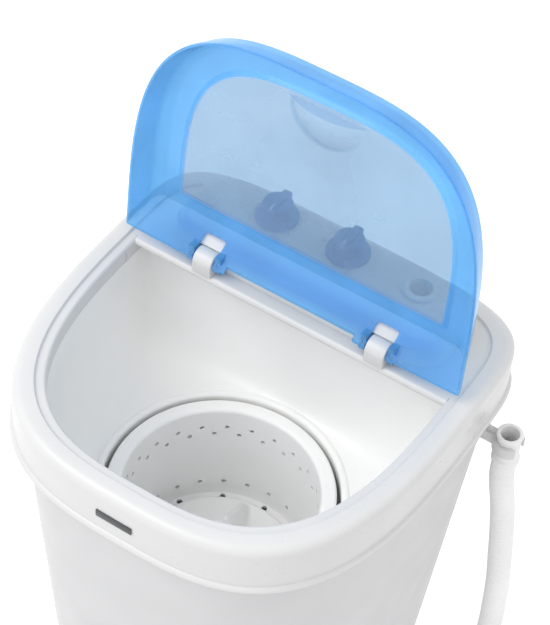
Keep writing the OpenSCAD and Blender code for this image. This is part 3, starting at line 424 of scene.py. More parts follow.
def tint(tree, shader, source, dark, light, low=0.3, high=0.7):
    """Spreads a pattern between two shades."""
    made = add_node(tree, "ValToRGB", {"Fac": source})
    made.color_ramp.elements[0].position = low
    made.color_ramp.elements[1].position = high
    made.color_ramp.elements[0].color = (*dark, 1)
    made.color_ramp.elements[1].color = (*light, 1)
    feed(tree, shader, {"Base Color": made.outputs["Color"]})


def bump(tree, shader, source, height, strength=1.0):
    made = add_node(tree, "Bump", {"Strength": strength, "Distance": height * MM, "Height": source})
    feed(tree, shader, {"Normal": made.outputs["Normal"]})


def shade(colour, by):
    return tuple(min(1.0, c * by) for c in colour)


def moulded(name, colour, rough=0.36, grain=1100.0, depth=0.012, vary=0.03):
    """Injection-moulded plastic: a fine eroded grain, slow shifts of shade, and patches handled smoother."""
    made, tree, shader, spot = new_finish(name)
    tint(tree, shader, noise(tree, spot, 9.0, 2.0), shade(colour, 1 - vary), shade(colour, 1 + vary))
    roughen(tree, shader, noise(tree, spot, 28.0, 4.0), rough - 0.05, rough + 0.06)
    bump(tree, shader, noise(tree, spot, grain, 2.0), depth)
    feed(tree, shader, {"Specular IOR Level": 0.45})
    return made


def rubber(name, colour):
    """Soft grey rubber with a dusty bloom."""
    made, tree, shader, spot = new_finish(name)
    bloom = noise(tree, spot, 120.0, 5.0, 0.6)
    tint(tree, shader, bloom, shade(colour, 0.8), shade(colour, 1.35))
    roughen(tree, shader, bloom, 0.68, 0.86)
    bump(tree, shader, noise(tree, spot, 900.0, 3.0), 0.03)
    feed(tree, shader, {"Specular IOR Level": 0.3})
    return made


def metal(name, colour, rough, stretch=None, scale=300.0, depth=0.01, mottle=0.12):
    """Turned, rolled or plated metal, with its tool marks drawn out along one axis."""
    made, tree, shader, spot = new_finish(name)
    marks = noise(tree, spot, scale, 4.0, 0.6, stretch)
    tint(tree, shader, marks, shade(colour, 1 - mottle), shade(colour, 1 + mottle))
    roughen(tree, shader, marks, rough - 0.07, rough + 0.1)
    bump(tree, shader, marks, depth)
    feed(tree, shader, {"Metallic": 1.0})
    return made


def cast_metal(name, colour):
    """Die-cast alloy: pocked skin and dull patches."""
    made, tree, shader, spot = new_finish(name)
    pits = add_node(tree, "TexVoronoi", {"Scale": 420.0, "Vector": spot})
    cloud = noise(tree, spot, 60.0, 4.0)
    tint(tree, shader, cloud, shade(colour, 0.82), shade(colour, 1.12))
    roughen(tree, shader, cloud, 0.42, 0.62)
    bump(tree, shader, pits.outputs["Distance"], 0.06, 0.6)
    feed(tree, shader, {"Metallic": 1.0})
    return made


def layered(name, colour, gleam, scale, waver, detail, dark, low, high, rough, depth):
    """Metal laid in fine level bands."""
    made, tree, shader, spot = new_finish(name)
    bands = add_node(tree, "TexWave", {
        "Scale": scale, "Distortion": waver, "Detail": detail, "Vector": spot,
    })
    bands.bands_direction = "Z"
    tint(tree, shader, bands.outputs["Fac"], shade(colour, dark), colour, low, high)
    bump(tree, shader, bands.outputs["Fac"], depth)
    feed(tree, shader, {"Metallic": gleam, "Roughness": rough})
    return made


def wound_copper(name, colour):
    """Enamelled wire laid in turns."""
    return layered(name, colour, 0.8, 330.0, 2.0, 2.0, 0.45, 0.1, 0.8, 0.34, 0.35)


def stacked_steel(name, colour):
    """The motor core's thin sheets, seen edge on."""
    return layered(name, colour, 0.9, 310.0, 0.4, 2.0, 0.5, 0.0, 0.6, 0.5, 0.1)


def clear_plastic(name, colour, see, body, edge, rough=0.1):
    """Tinted clear plastic. What is behind it shows in the tint, and it deepens where it is seen edge on."""
    made, tree, shader, spot = new_finish(name)
    made.use_transparent_shadow = True
    slow = noise(tree, spot, 16.0, 3.0)
    tint(tree, shader, slow, shade(colour, 0.9), shade(colour, 1.1))
    roughen(tree, shader, slow, rough, rough + 0.05)
    bump(tree, shader, noise(tree, spot, 60.0, 2.0), 0.02)
    feed(tree, shader, {"Specular IOR Level": 0.6})
    through = add_node(tree, "BsdfTransparent", {"Color": (*see, 1)})
    slant = add_node(tree, "LayerWeight", {"Blend": 0.5})
    amount = add_node(tree, "MapRange", {
        "From Min": 0.1, "From Max": 0.9, "To Min": body, "To Max": edge, "Value": slant.outputs["Facing"],
    })
    both = add_node(tree, "MixShader", {
        "Fac": amount.outputs["Result"], 1: through.outputs["BSDF"], 2: shader.outputs["BSDF"],
    })
    feed(tree, tree.nodes["Material Output"], {"Surface": both.outputs["Shader"]})
    return made


finishes = {}


def build_finishes():
    hue = bpy.context.scene.washer_colours
    finishes.update(
        body=moulded("body_white", tuple(hue.shell), 0.4, 1000.0),
        rim=moulded("rim_white", tuple(hue.rim), 0.3, 1400.0, 0.006),
        # Painted light: the tub finish's lighter white stands in for light that the shaded inside of the tub
        # lacks.
        tub=moulded("tub_white", tuple(hue.tub), 0.34, 1300.0, 0.006),
        panel=moulded("panel_white", tuple(hue.rim), 0.42, 800.0, 0.02),
        knob=moulded("knob_blue", tuple(hue.knobs), 0.28, 1500.0, 0.006, 0.06),
        # Painted light: the hose finish is lightened to cancel the shade that falls on the hose beside the
        # body.
        hose=moulded("hose_grey", tuple(hue.hose), 0.46, 700.0, 0.02, 0.05),
        grey=moulded("grey_nylon", (0.46, 0.47, 0.48), 0.44, 900.0, 0.02, 0.05),
        dark=moulded("dark_grey_plastic", (0.055, 0.06, 0.065), 0.4, 900.0, 0.02, 0.1),
        rubber=rubber("foot_rubber", (0.045, 0.047, 0.05)),
        belt=rubber("belt_rubber", (0.022, 0.022, 0.024)),
        zinc=metal("zinc_plate", (0.60, 0.62, 0.63), 0.34, None, 240.0, 0.01, 0.16),
        steel=metal("turned_steel", (0.58, 0.58, 0.57), 0.24, (0.06, 0.06, 1.0), 900.0, 0.006),
        sheet=metal("rolled_sheet", (0.50, 0.51, 0.52), 0.38, (1.0, 0.05, 1.0), 500.0, 0.008),
        cast=cast_metal("cast_alloy", (0.56, 0.57, 0.58)),
        bronze=metal("sintered_bronze", (0.58, 0.38, 0.16), 0.46, None, 1200.0, 0.02, 0.2),
        copper=wound_copper("enamelled_copper", (0.62, 0.22, 0.07)),
        core=stacked_steel("stacked_core", (0.40, 0.41, 0.43)),
        print_grey=moulded("dial_print", (0.12, 0.13, 0.15), 0.5, 1500.0, 0.004),
        frame=clear_plastic("lid_blue_frame", tuple(hue.lid), (0.46, 0.76, 0.97), 0.30, 0.80),
        window=clear_plastic("lid_blue_window", tuple(hue.window), (0.66, 0.79, 0.90), 0.25, 0.6),
    )


def wear(obj, *keys):
    """Gives a piece its finishes."""
    obj.data.materials.clear()
    for key in keys:
        obj.data.materials.append(finishes[key])
    return obj


def dress(obj, body, slot, *replaced):
    """Hangs a finished piece on its body and hides the imported solids that it stands for."""
    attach(obj, body)
    if replaced:
        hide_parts(*replaced)
    return obj


# The machine's own outlines


def rim_outline(inset):
    return outline(RIM_W / 2 - inset, RIM_FRONT - inset, RIM_BACK - inset, HINGE_Y)


def body_scale(z):
    return (SHELL_FOOT_W + (SHELL_TOP_W - SHELL_FOOT_W) * z / SHELL_TOP_Z) / RIM_W


def body_outline(z, inset):
    k = body_scale(z)
    return outline(k * RIM_W / 2 - inset, k * RIM_FRONT - inset, k * RIM_BACK - inset, k * HINGE_Y)


def body_side(z, y):
    """How far out the body's side is at a height and depth."""
    k = body_scale(z)
    front = y < k * HINGE_Y
    depth, n = k * (RIM_FRONT if front else RIM_BACK), BODY_FRONT if front else BODY_BACK
    return k * RIM_W / 2 * (1 - (abs(y - k * HINGE_Y) / depth) ** n) ** (1 / n)


def console_outline(inset):
    depth = CONSOLE_HALF_D - inset
    return outline(CONSOLE_HALF_W - inset, depth, depth, CONSOLE_Y, CONSOLE_TURN, CONSOLE_TURN)


def funnel_ring(turn, grow):
    """One ring of the tub's funnel. At turn 0 it is the mouth, and at turn 90 the round well."""
    a = math.radians(turn)
    blend, drop = 1 - math.cos(a), math.sin(a) ** (2 / 3)
    mouth = outline(RIM_W / 2 - MOUTH_IN + grow, RIM_FRONT - MOUTH_IN + grow, 25 + grow, HINGE_Y)
    z = TUB_TOP + (WELL_Z - 1 - TUB_TOP) * drop - grow * blend - (WALL if turn == 0 and grow else 0)
    return [(x * (1 - blend) + u * blend, y * (1 - blend) + v * blend, z)
            for (x, y), (u, v) in zip(mouth, circle_outline(WELL_R + 7 + grow / 2, 0, WELL_Y, AROUND))]


def lid_face(t, border):
    """Rings of the lid's outer face, or of its inner one at a depth of t, from the edge to the window."""
    lean, band, edge = LID_SLOPE / LID_RISE, border - 0.35 * t, 0.5 if t == 0 else -0.4
    wall = [(t + edge, 0), (t, 0.6), (t + 0.8, 5)] + arc(t + 21, LID_RISE - 14 - t, 14, 172, 90, 12)
    low = LID_RISE - WINDOW_DROP - t
    top = eased([(t + 21, LID_RISE - t), (band - 2, LID_RISE + 0.8 - t), (band + 2, low), (band + 8, low)],
                1.1)
    rings = []
    for side, rise in wall + top:
        flat = min(1.0, max(0.0, (side - t - 21) / (band - 2 - t - 21)))
        fold = 1.2 * max(0.0, (rise - LID_RISE + t + 5) / 5) ** 2
        rear = (1 - flat) * (lean * rise + t * math.sqrt(1 + lean * lean) + fold) + flat * (side + 2)
        front = side + 7 * flat
        rings.append(at(outline(LID_HALF_W - side, LID_DEPTH - LID_CORNER - front - rear, LID_CORNER,
                                LID_REAR_Y - LID_CORNER - rear, LID_FRONT, LID_BACK), LID_EDGE_Z + rise))
    return rings


def grip_bowl(r, t):
    """Radius and height of the finger recess, bottom first, or of the cup round it at a wall of t."""
    bowl = (r * r + GRIP_DEPTH * GRIP_DEPTH) / 2 / GRIP_DEPTH
    turn = math.asin(r / bowl)
    steps = [turn * (0.2 + 0.08 * i) for i in range(11)]
    return [((bowl + t) * math.sin(a), bowl * math.cos(turn) - 0.4 - (bowl + t) * math.cos(a)) for a in steps]


def grip_ring(r, z, t=0.0):
    """A half circle at a height from the window, with the cup's front wall added at a wall of t."""
    top = LID_EDGE_Z + LID_RISE - WINDOW_DROP
    ring = [(u, GRIP_Y + v, top + z) for u, v in arc(0, 0, r, 0, 180, 36)]
    return ring + ([(-r, GRIP_Y - t, top + z), (r, GRIP_Y - t, top + z)] if t else [])


# The camera and the hose come first


def hose_spot(i, u):
    """A point on the smooth curve through the route, between its points i and i + 1."""
    route = [Vector(p) for p in HOSE_ROUTE]
    b, c = route[i], route[i + 1]
    a = route[i - 1] if i else 2 * b - c
    d = route[i + 2] if i + 2 < len(route) else 2 * c - b
    return (2 * b + (c - a) * u + (2 * a - 5 * b + 4 * c - d) * u * u + (3 * b - a - 3 * c + d) * u ** 3) / 2


def hose_ring(spot, way, r):
    """A ring of points round the hose, square to its way."""
    sides = 28
    side = Vector((0, 1, 0)).cross(way).normalized()
    up = way.cross(side)
    turns = [2 * math.pi * k / sides for k in range(sides)]
    return [tuple(spot + r * (math.cos(a) * side + math.sin(a) * up)) for a in turns]


def hose_line(step):
    """Points along the route, evenly spaced by about a step, with the direction at each."""
    parts = 40
    fine = [hose_spot(i, k / parts) for i in range(len(HOSE_ROUTE) - 1) for k in range(parts)]
    fine.append(Vector(HOSE_ROUTE[-1]))
    reach = [0.0]
    for a, b in zip(fine, fine[1:]):
        reach.append(reach[-1] + (b - a).length)
    count = round(reach[-1] / step)
    line, k = [], 0
    for j in range(count + 1):
        want = reach[-1] * j / count
        while k < len(reach) - 2 and reach[k + 1] < want:
            k += 1
        u = (want - reach[k]) / max(reach[k + 1] - reach[k], 1e-9)
        line.append(fine[k].lerp(fine[k + 1], u))
    ways = [(line[min(j + 1, count)] - line[max(j - 1, 0)]).normalized() for j in range(count + 1)]
    return line, ways, reach[-1]


class WasherCamera(bpy.types.Operator):
    """Sets the camera where the photograph was taken from"""

    bl_idname = "washer.camera"
    bl_label = "Camera"

    def execute(self, context):
        clear_selection()
        bpy.ops.object.camera_add()
        camera = named(context.object, "front_camera")
        stand, roll = (0.6228, -1.0482, 1.9921), 0.0837
        ahead = Vector((-0.3324, 0.5828, -0.7415)).normalized()
        level = ahead.cross(Vector((0, 0, 1))).normalized()
        lean = Matrix.Rotation(-roll, 3, ahead)
        right, up = lean @ level, lean @ level.cross(ahead)
        turn = Matrix((right, up, -ahead)).transposed().to_4x4()
        camera.matrix_world = Matrix.Translation(stand) @ turn
        camera.data.lens = 120.9
        camera.data.sensor_width = 36.0
        camera.data.clip_start = 0.01
        context.scene.camera = camera
        return {"FINISHED"}


class WasherFinishes(bpy.types.Operator):
    """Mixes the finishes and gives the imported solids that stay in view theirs"""

    bl_idname = "washer.finishes"
    bl_label = "Finishes"

    worn = {
        "body": "outer_shell",
        "rim": "top_frame hose_clip inlet_chute",
        "tub": "inner_tub spin_basket pulsator",
        "panel": "console_panel",
        "knob": "wash_timer_knob mode_knob",
        "grey": "base_pan wash_timer mode_switch drain_grate drain_pipe outlet_elbow hose_cuff capacitor",
        "dark": "name_plate cord_gland",
        "rubber": "rubber_feet shaft_seal motor_mounts",
        "belt": "drive_belt",
        "zinc": "base_screws console_screws tub_screws pulsator_screw housing_screws plate_bolts motor_bolts "
                "clip_screws pulley_nut capacitor_strap",
        "steel": "timer_spindle mode_spindle hinge_pins drive_shaft motor_rotor",
        "sheet": "drive_plate",
        "cast": "bearing_housing drive_pulley motor_pulley motor_bells",
        "bronze": "shaft_bushes motor_bushes",
        "copper": "motor_windings",
        "core": "motor_core",
        "hose": "drain_hose",
        "frame": "lid_shell",
    }

    def execute(self, context):
        build_finishes()
        for key, names in self.worn.items():
            for name in names.split():
                wear(nodes[name], key)
        return {"FINISHED"}


class WasherHose(bpy.types.Operator):
    """Sweeps the ribbed drain hose from the elbow up to its clip"""

    bl_idname = "washer.hose"
    bl_label = "Drain hose"

    def execute(self, context):
        size = context.scene.washer_sizes
        pitch, crest, per_rib = size.rib_pitch / MM, size.hose_r / MM, 6
        line, ways, length = hose_line(pitch / per_rib)
        plain, groove = 3.0 * pitch, 1.5
        rings = []
        for j, (spot, way) in enumerate(zip(line, ways)):
            run = length * j / (len(line) - 1)
            wave = 0.5 + 0.5 * math.cos(2 * math.pi * run / pitch)
            r = crest - groove * (1 - wave ** 0.7)
            if run < plain or run > length - plain:
                r = crest - 0.1
            rings.append(hose_ring(spot, way, r))
        inner = [hose_ring(line[j], ways[j], HOSE_BORE) for j in range(len(line) - 1, -1, -per_rib)]
        hose = done(loft("ribbed_hose", rings + inner, closed=True), 50)
        wear(hose, "hose")
        dress(hose, "cabinet", "hose_grey", "drain_hose")
        cuff = wear(refined("hose_cuff", "rounded_cuff", 0.4), "hose")
        dress(cuff, "cabinet", "hose_grey", "hose_cuff")
        return {"FINISHED"}


class WasherLid(bpy.types.Operator):
    """Moulds the dished blue lid with its window, recess, notches and hinge ears, and swings it open"""

    bl_idname = "washer.lid"
    bl_label = "Lid"

    def execute(self, context):
        size = context.scene.washer_sizes
        t, border, grip = size.lid_wall / MM, size.border / MM, size.recess / MM
        faces = lid_face(t, border)[::-1] + lid_face(0.0, border)
        lid = loft("blue_lid", faces, cap_first=True, cap_last=True)
        ear_r, ear_x, ear_half, notch_half, slot_gap, pin_half = 7.5, 14.5, 3, 11.5, 24, 23
        ear = [(60, 592.5), (60, 583)] + arc(HINGE_Y, HINGE_Z, ear_r, -126.9, 152.2, 28)
        ears = [
            prism("lid_ear", ear, side * HINGE_X + end * ear_x - ear_half,
                  side * HINGE_X + end * ear_x + ear_half, "X")
            for side in (-1, 1) for end in (-1, 1)
        ]
        cup = loft("recess_cup", [grip_ring(r, z, t) for r, z in grip_bowl(grip, t)]
                   + [grip_ring(grip_bowl(grip, t)[-1][0], -t / 2, t)], cap_first=True, cap_last=True)
        cut(lid, gather(cup, *ears), "UNION")
        hollow = loft("recess_hollow", [grip_ring(r, z) for r, z in grip_bowl(grip, 0.0)]
                      + [grip_ring(grip, 1.0)], cap_first=True, cap_last=True)
        notches = both_sides(lambda side: soften(block(
            "lug_notch", (side * HINGE_X - notch_half, LID_REAR_Y - 18, LID_EDGE_Z - 1),
            (side * HINGE_X + notch_half, LID_REAR_Y + 22, LID_EDGE_Z + 24)), 2.0, 3))
        slot = block("rear_slot", (slot_gap - HINGE_X, LID_REAR_Y - 8, LID_EDGE_Z - 1),
                     (HINGE_X - slot_gap, LID_REAR_Y + 12, LID_EDGE_Z + 5))
        cut(lid, gather(hollow, slot, *notches))
        bore = circle_outline(PIN_R + 0.02, HINGE_Y, HINGE_Z, 32)
        cut(lid, gather(*at_hinges("pin_bore", bore, pin_half)))
        wear(lid, "frame", "window")
        edit(lid)
        flat = (LID_EDGE_Z + LID_RISE - WINDOW_DROP) * MM

        def clear(face):
            """Picks the faces of the window's pane and of the cup of the finger recess."""
            x, y, z = face.calc_center_median()
            near = math.hypot(x, y - GRIP_Y * MM) < (grip + t) * MM and y > (GRIP_Y - 1 - t) * MM
            if near and flat - 16 * MM < z < flat:
                return True
            return abs(face.normal.z) > 0.99 and min(abs(z - flat), abs(z - flat + t * MM)) < 1e-4

        choose(clear, "FACE")
        lid.active_material_index = 1
        bpy.ops.object.material_slot_assign()
        bpy.ops.object.mode_set(mode="OBJECT")
        pick(lid)
        bpy.ops.transform.rotate(
            value=math.radians(LID_OPEN), orient_axis="X", orient_type="GLOBAL",
            center_override=(0, HINGE_Y * MM, HINGE_Z * MM),
        )
        dress(done(lid, 32), "lid", "lid_blue", "lid_shell")
        return {"FINISHED"}


class WasherRim(bpy.types.Operator):
    """Moulds the deep rim with its beaded skirt, the deck behind the mouth and the two hinge lugs"""

    bl_idname = "washer.rim"
    bl_label = "Rim and deck"

    def execute(self, context):
        deck_half, nose_half, shelf_in = 174, 168.5, 21
        under = RIM_H - 3 - WALL
        section = (
            arc(1, SKIRT_Z + 4, 4, 270, 105, 8) + [(-0.02, RIM_H - 40)] + arc(9, RIM_H - 9, 9, 180, 90, 8)
            + eased([(12, RIM_H), (18, RIM_H), (19, RIM_H - 3), (23, RIM_H - 3)], 0.7, 3)
            + arc(24.5, RIM_H - 6, 3, 90, 0, 5)
            + [(MOUTH_IN, TUB_TOP + 0.15), (24.5, TUB_TOP + 0.15), (24.5, under - 2), (12, under),
               (WALL, RIM_H - 18), (WALL, SKIRT_Z)]
        )
        rim = loft("moulded_rim", [at(rim_outline(inset), z) for inset, z in section], closed=True)
        shelf = rim_outline(shelf_in)
        plate = [(deck_half, DECK_FRONT + 6.5)] + shelf[:AROUND // 2 + 1] + [(-deck_half, DECK_FRONT + 6.5)]
        cut(rim, prism("deck_plate", plate, DECK_Z - DECK_T, DECK_Z), "UNION")
        nose = arc(DECK_FRONT + NOSE_R, DECK_Z - NOSE_R, NOSE_R, 90, 270, 12) + [
            (DECK_FRONT + 9.5, DECK_Z - 2 * NOSE_R), (DECK_FRONT + 9.5, DECK_Z)]
        cut(rim, prism("deck_nose", nose, -nose_half, nose_half, "X"), "UNION")
        lug = arc(HINGE_Y, HINGE_Z, LUG_R, 0, 180, 24)
        lug += [(HINGE_Y - LUG_R, DECK_Z - 1), (HINGE_Y + LUG_R, DECK_Z - 1)]
        lugs = [soften(tool, 1.2, 3, 50) for tool in at_hinges("hinge_lug", lug, LUG_W / 2)]
        cut(rim, gather(*lugs), "UNION")
        bores = at_hinges("pin_bore", circle_outline(PIN_R + 0.05, HINGE_Y, HINGE_Z, 32), LUG_W)
        well = block("control_opening", (CONTROL_X[0] - 26, CONTROL_Y - 30, DECK_Z - 8),
                     (CONTROL_X[2] + 21, CONTROL_Y + 22, DECK_Z + 4))
        cut(rim, gather(well, *bores))
        wear(rim, "rim")
        dress(done(rim, 38), "cabinet", "white_rim", "top_frame")
        return {"FINISHED"}


class WasherTub(bpy.types.Operator):
    """Moulds the tub, whose wide mouth blends down into a round well with a beaded lip"""

    bl_idname = "washer.tub"
    bl_label = "Tub"

    def execute(self, context):
        turns = [0, 3, 7, 12, 18, 25, 32, 39, 46, 53, 60, 66, 72, 78, 84, 90]
        flange = outline(RIM_W / 2 - 5.5, RIM_FRONT - 5.5, 40, HINGE_Y)
        rings = [funnel_ring(turn, WALL) for turn in reversed(turns)]
        rings += [at(flange, TUB_TOP - WALL), at(flange, TUB_TOP)]
        rings += [funnel_ring(turn, 0.0) for turn in turns]
        tub = loft("moulded_tub", rings, closed=True)
        outer, under = WELL_R + WALL, FLOOR_Z - WALL
        section = [(0, under), (outer - 2, under), (outer, under + 2), (outer, WELL_Z - 14),
                   (WELL_R + 12, WELL_Z - 8), (WELL_R + 12, WELL_Z - 1.6)]
        section += arc(WELL_R + 4, WELL_Z - 3, 4, 20, 180, 10)
        section += [(WELL_R, WELL_Z - 60), (WELL_R, FLOOR_Z + 5), (WELL_R - 1.5, FLOOR_Z + 1.5),
                    (WELL_R - 5, FLOOR_Z), (0, FLOOR_Z)]
        cut(tub, revolve("round_well", section, 0, WELL_Y), "UNION")
        bosses = []
        boss_r, nozzle_r, shaft_r, drain_r = 7, 14, 14, 11
        for i in range(4):
            turn = math.radians(BOSS_TURN + 90 * i)
            bosses.append(disc("tub_boss", boss_r, FLOOR_Z - 15, FLOOR_Z - 2, BOSS_REACH * math.cos(turn),
                               WELL_Y + BOSS_REACH * math.sin(turn), count=32))
        nozzle = disc("drain_nozzle", nozzle_r, FLOOR_Z - 22, FLOOR_Z - 2, *DRAIN_PORT)
        cut(tub, gather(nozzle, *bosses), "UNION")
        cut(tub, gather(disc("shaft_hole", shaft_r, FLOOR_Z - 20, FLOOR_Z + 20, 0, WELL_Y),
                        disc("drain_hole", drain_r, FLOOR_Z - 40, FLOOR_Z + 20, *DRAIN_PORT)))
        wear(tub, "tub")
        dress(done(tub, 34), "cabinet", "white_tub", "inner_tub")
        return {"FINISHED"}


class WasherBody(bpy.types.Operator):
    """Moulds the tapered body shell with its plinth, rear louvres and the seats of hose and gland"""

    bl_idname = "washer.body"
    bl_label = "Body shell"

    def execute(self, context):
        foot, step, plinth = SHELL_FOOT_Z, SHELL_FOOT_Z + 20, 4
        outside = [(foot, plinth + 0.5), (foot + 0.6, plinth), (step, plinth), (step + 0.5, plinth - 0.4),
                   (step + 1.6, 0.4), (step + 2.2, 0), (120, 0), (260, 0), (400, 0), (SHELL_TOP_Z, 0)]
        inside = [(SHELL_TOP_Z, WALL), (400, WALL), (260, WALL), (120, WALL), (step + 2, WALL),
                  (step, plinth + WALL), (foot, plinth + WALL)]
        rings = [at(body_outline(z, inset), z) for z, inset in outside + inside]
        body = loft("moulded_body", rings, closed=True)
        pad_r, pipe_r, seat_r, cord_r = 20, 12.2, 15, 9
        near, far = body_side(PIPE_Z, PIPE_Y) - 4, SHELL_FOOT_W / 2 + 8
        pad = soften(disc("outlet_pad", pad_r, near, far, PIPE_Y, PIPE_Z, "X"), 1.2, 3)
        back = body_scale(GLAND_Z) * (HINGE_Y + RIM_BACK) + 2.5
        seat = soften(disc("gland_seat", seat_r, back - 6, back, GLAND_X, GLAND_Z, "Y"), 0.8, 2)
        cut(body, gather(pad, seat), "UNION")
        holes = [disc("outlet_hole", pipe_r, 0, 240, PIPE_Y, PIPE_Z, "X"),
                 disc("gland_hole", cord_r, 60, 300, GLAND_X, GLAND_Z, "Y")]
        louvre_half, louvre_h, louvre_step = 35, 4, 12
        for z in range(100, 172, louvre_step):
            louvre = block("louvre", (-louvre_half, HINGE_Y, z),
                           (louvre_half, HINGE_Y + RIM_BACK, z + louvre_h))
            holes.append(soften(louvre, 1.9, 4))
        cut(body, gather(*holes))
        wear(body, "body")
        dress(done(body, 30), "cabinet", "white_shell", "outer_shell")
        return {"FINISHED"}


class WasherConsole(bpy.types.Operator):
    """Moulds the control panel behind the lid, with its hinge pockets and its printed dials"""

    bl_idname = "washer.console"
    bl_label = "Control panel"

    def execute(self, context):
        outer = [(0.5, CONSOLE_FOOT), (0, CONSOLE_FOOT + 0.5)] + eased(
            [(0, CONSOLE_FOOT + 4), (0, CONSOLE_SIDE), (BEVEL_W, CONSOLE_TOP), (BEVEL_W + 12, CONSOLE_TOP)],
            2.0)
        inner = [(BEVEL_W + WALL, CONSOLE_TOP - WALL), (WALL, CONSOLE_SIDE - 1.5), (WALL, CONSOLE_FOOT)]
        rings = [at(console_outline(inset), z) for inset, z in inner + outer]
        panel = loft("control_panel", rings, cap_first=True, cap_last=True)
        wall_half, pocket_half = 19.9, 17.9
        walls = both_sides(lambda side: block(
            "pocket_wall", (side * HINGE_X - wall_half, CONSOLE_Y - CONSOLE_HALF_D + 1, CONSOLE_FOOT),
            (side * HINGE_X + wall_half, HINGE_Y + LUG_R + 2.4, CONSOLE_SIDE)))
        cut(panel, gather(*walls), "UNION")
        r = LUG_R + 0.4
        pocket = arc(HINGE_Y, HINGE_Z, r, 0, 180, 24)
        pocket += [(HINGE_Y - r, CONSOLE_FOOT - 1), (HINGE_Y + r, CONSOLE_FOOT - 1)]
        tools = at_hinges("hinge_pocket", pocket, pocket_half)
        tools += [disc("control_hole", hole, CONSOLE_TOP - 10, CONSOLE_TOP + 5, x, CONTROL_Y)
                  for hole, x in zip((5.2, 5.2, 13.2), CONTROL_X)]
        cut(panel, gather(*tools))
        wear(panel, "panel")
        dress(done(panel, 30), "cabinet", "white_rim", "console_panel")

        marks = []
        edge = CONSOLE_HALF_D - BEVEL_W
        for x, steps, sweep in ((CONTROL_X[0], 15, 300), (CONTROL_X[1], 2, 90)):
            for i in range(steps + 1):
                way, across = spoke(math.radians(-90 - sweep * i / steps))
                long = 3.6 if i % 5 == 0 or steps < 5 else 2.2
                near, far, half = Vector((x, CONTROL_Y)) + way * (KNOB_R + 0.7), long * way, 0.35 * across
                if abs((near + far).y - CONSOLE_Y) > edge - 1:
                    continue
                bar = [near - half, near + far - half, near + far + half, near + half]
                bar = [tuple(p) for p in bar]
                marks.append(prism("tick", bar, CONSOLE_TOP - 0.05, CONSOLE_TOP + 0.12))
        for x, turn, word in ((CONTROL_X[0], -140, "5"), (CONTROL_X[0], 45, "15"), (CONTROL_X[1], -180, "2"),
                              (CONTROL_X[0], 128, "10"), (CONTROL_X[1], -62, "0"), (CONTROL_X[0], -62, "0")):
            spot = Vector((x, CONTROL_Y)) + (KNOB_R + 5.4) * spoke(math.radians(turn))[0]
            if abs(spot.y - CONSOLE_Y) > edge - 3:
                continue
            clear_selection()
            bpy.ops.object.text_add(location=(spot.x * MM, spot.y * MM, (CONSOLE_TOP - 0.05) * MM))
            number = bpy.context.object
            number.data.body = word
            number.data.size = 6.2 * MM
            number.data.extrude = 0.15 * MM
            number.data.align_x = "CENTER"
            number.data.align_y = "CENTER"
            bpy.ops.object.convert(target="MESH")
            bpy.ops.object.transform_apply(location=True, rotation=True, scale=True)
            marks.append(bpy.context.object)
        dials = named(gather(*marks), "dial_marks")
        wear(dials, "print_grey")
        dress(done(dials, 30), "cabinet", "plate_grey")
        return {"FINISHED"}


class WasherKnobs(bpy.types.Operator):
    """Turns the two skirted knobs with their grip bars and pointers"""

    bl_idname = "washer.knobs"
    bl_label = "Knobs"

    def execute(self, context):
        base = CONSOLE_TOP + 0.4
        dome, grip, neck = 3 * KNOB_R, 18.4, KNOB_R - 6
        bar_half, pointer_half, bore = 4.5, 0.8, 3.05
        crown = base + KNOB_H - dome
        for x, name, body in zip(CONTROL_X, ("wash_timer_knob", "mode_knob"), ("timer", "mode")):
            section = [(0, base), (KNOB_R - 0.4, base), (KNOB_R, base + 0.4)]
            section += arc(KNOB_R - 2, base + 2, 2, 0, 90, 5)
            section += eased([(KNOB_R - 3, base + 4.05), (neck, base + 4.6), (neck - 0.5, base + KNOB_H - 5)],
                             1.2, 3)
            section += arc(KNOB_R - 9, base + KNOB_H - 5, 2.5, 0, 90, 6) + [(0, base + KNOB_H - 2.5)]
            knob = revolve(f"{body}_knob", section, x, CONTROL_Y, 96)
            ridge = [(CONTROL_Y + y, crown + math.sqrt(dome ** 2 - y * y))
                     for y in [grip - 2.3 * k for k in range(17)]]
            ridge += [(CONTROL_Y - grip, base + 3), (CONTROL_Y + grip, base + 3)]
            bar = prism("grip_bar", ridge, x - bar_half, x + bar_half, "X")
            cut(knob, soften(bar, 1.6, 4, 50), "UNION")
            cut(knob, disc("spindle_bore", bore, base - 1, base + KNOB_H - 5, x, CONTROL_Y, count=32))
            wear(knob, "knob")
            dress(done(knob, 38), body, "knob_blue", name)
            strip = [(CONTROL_Y + y, crown + 0.18 + math.sqrt(dome ** 2 - y * y))
                     for y in (-6, -8, -10, -12, -14, -16.4)]
            strip += [(y, z - 0.7) for y, z in reversed(strip)]
            pointer = prism(f"{body}_pointer", strip, x - pointer_half, x + pointer_half, "X")
            soften(pointer, 0.12, 2, 50)
            wear(pointer, "rim")
            dress(done(pointer), body, "white_rim")
        return {"FINISHED"}


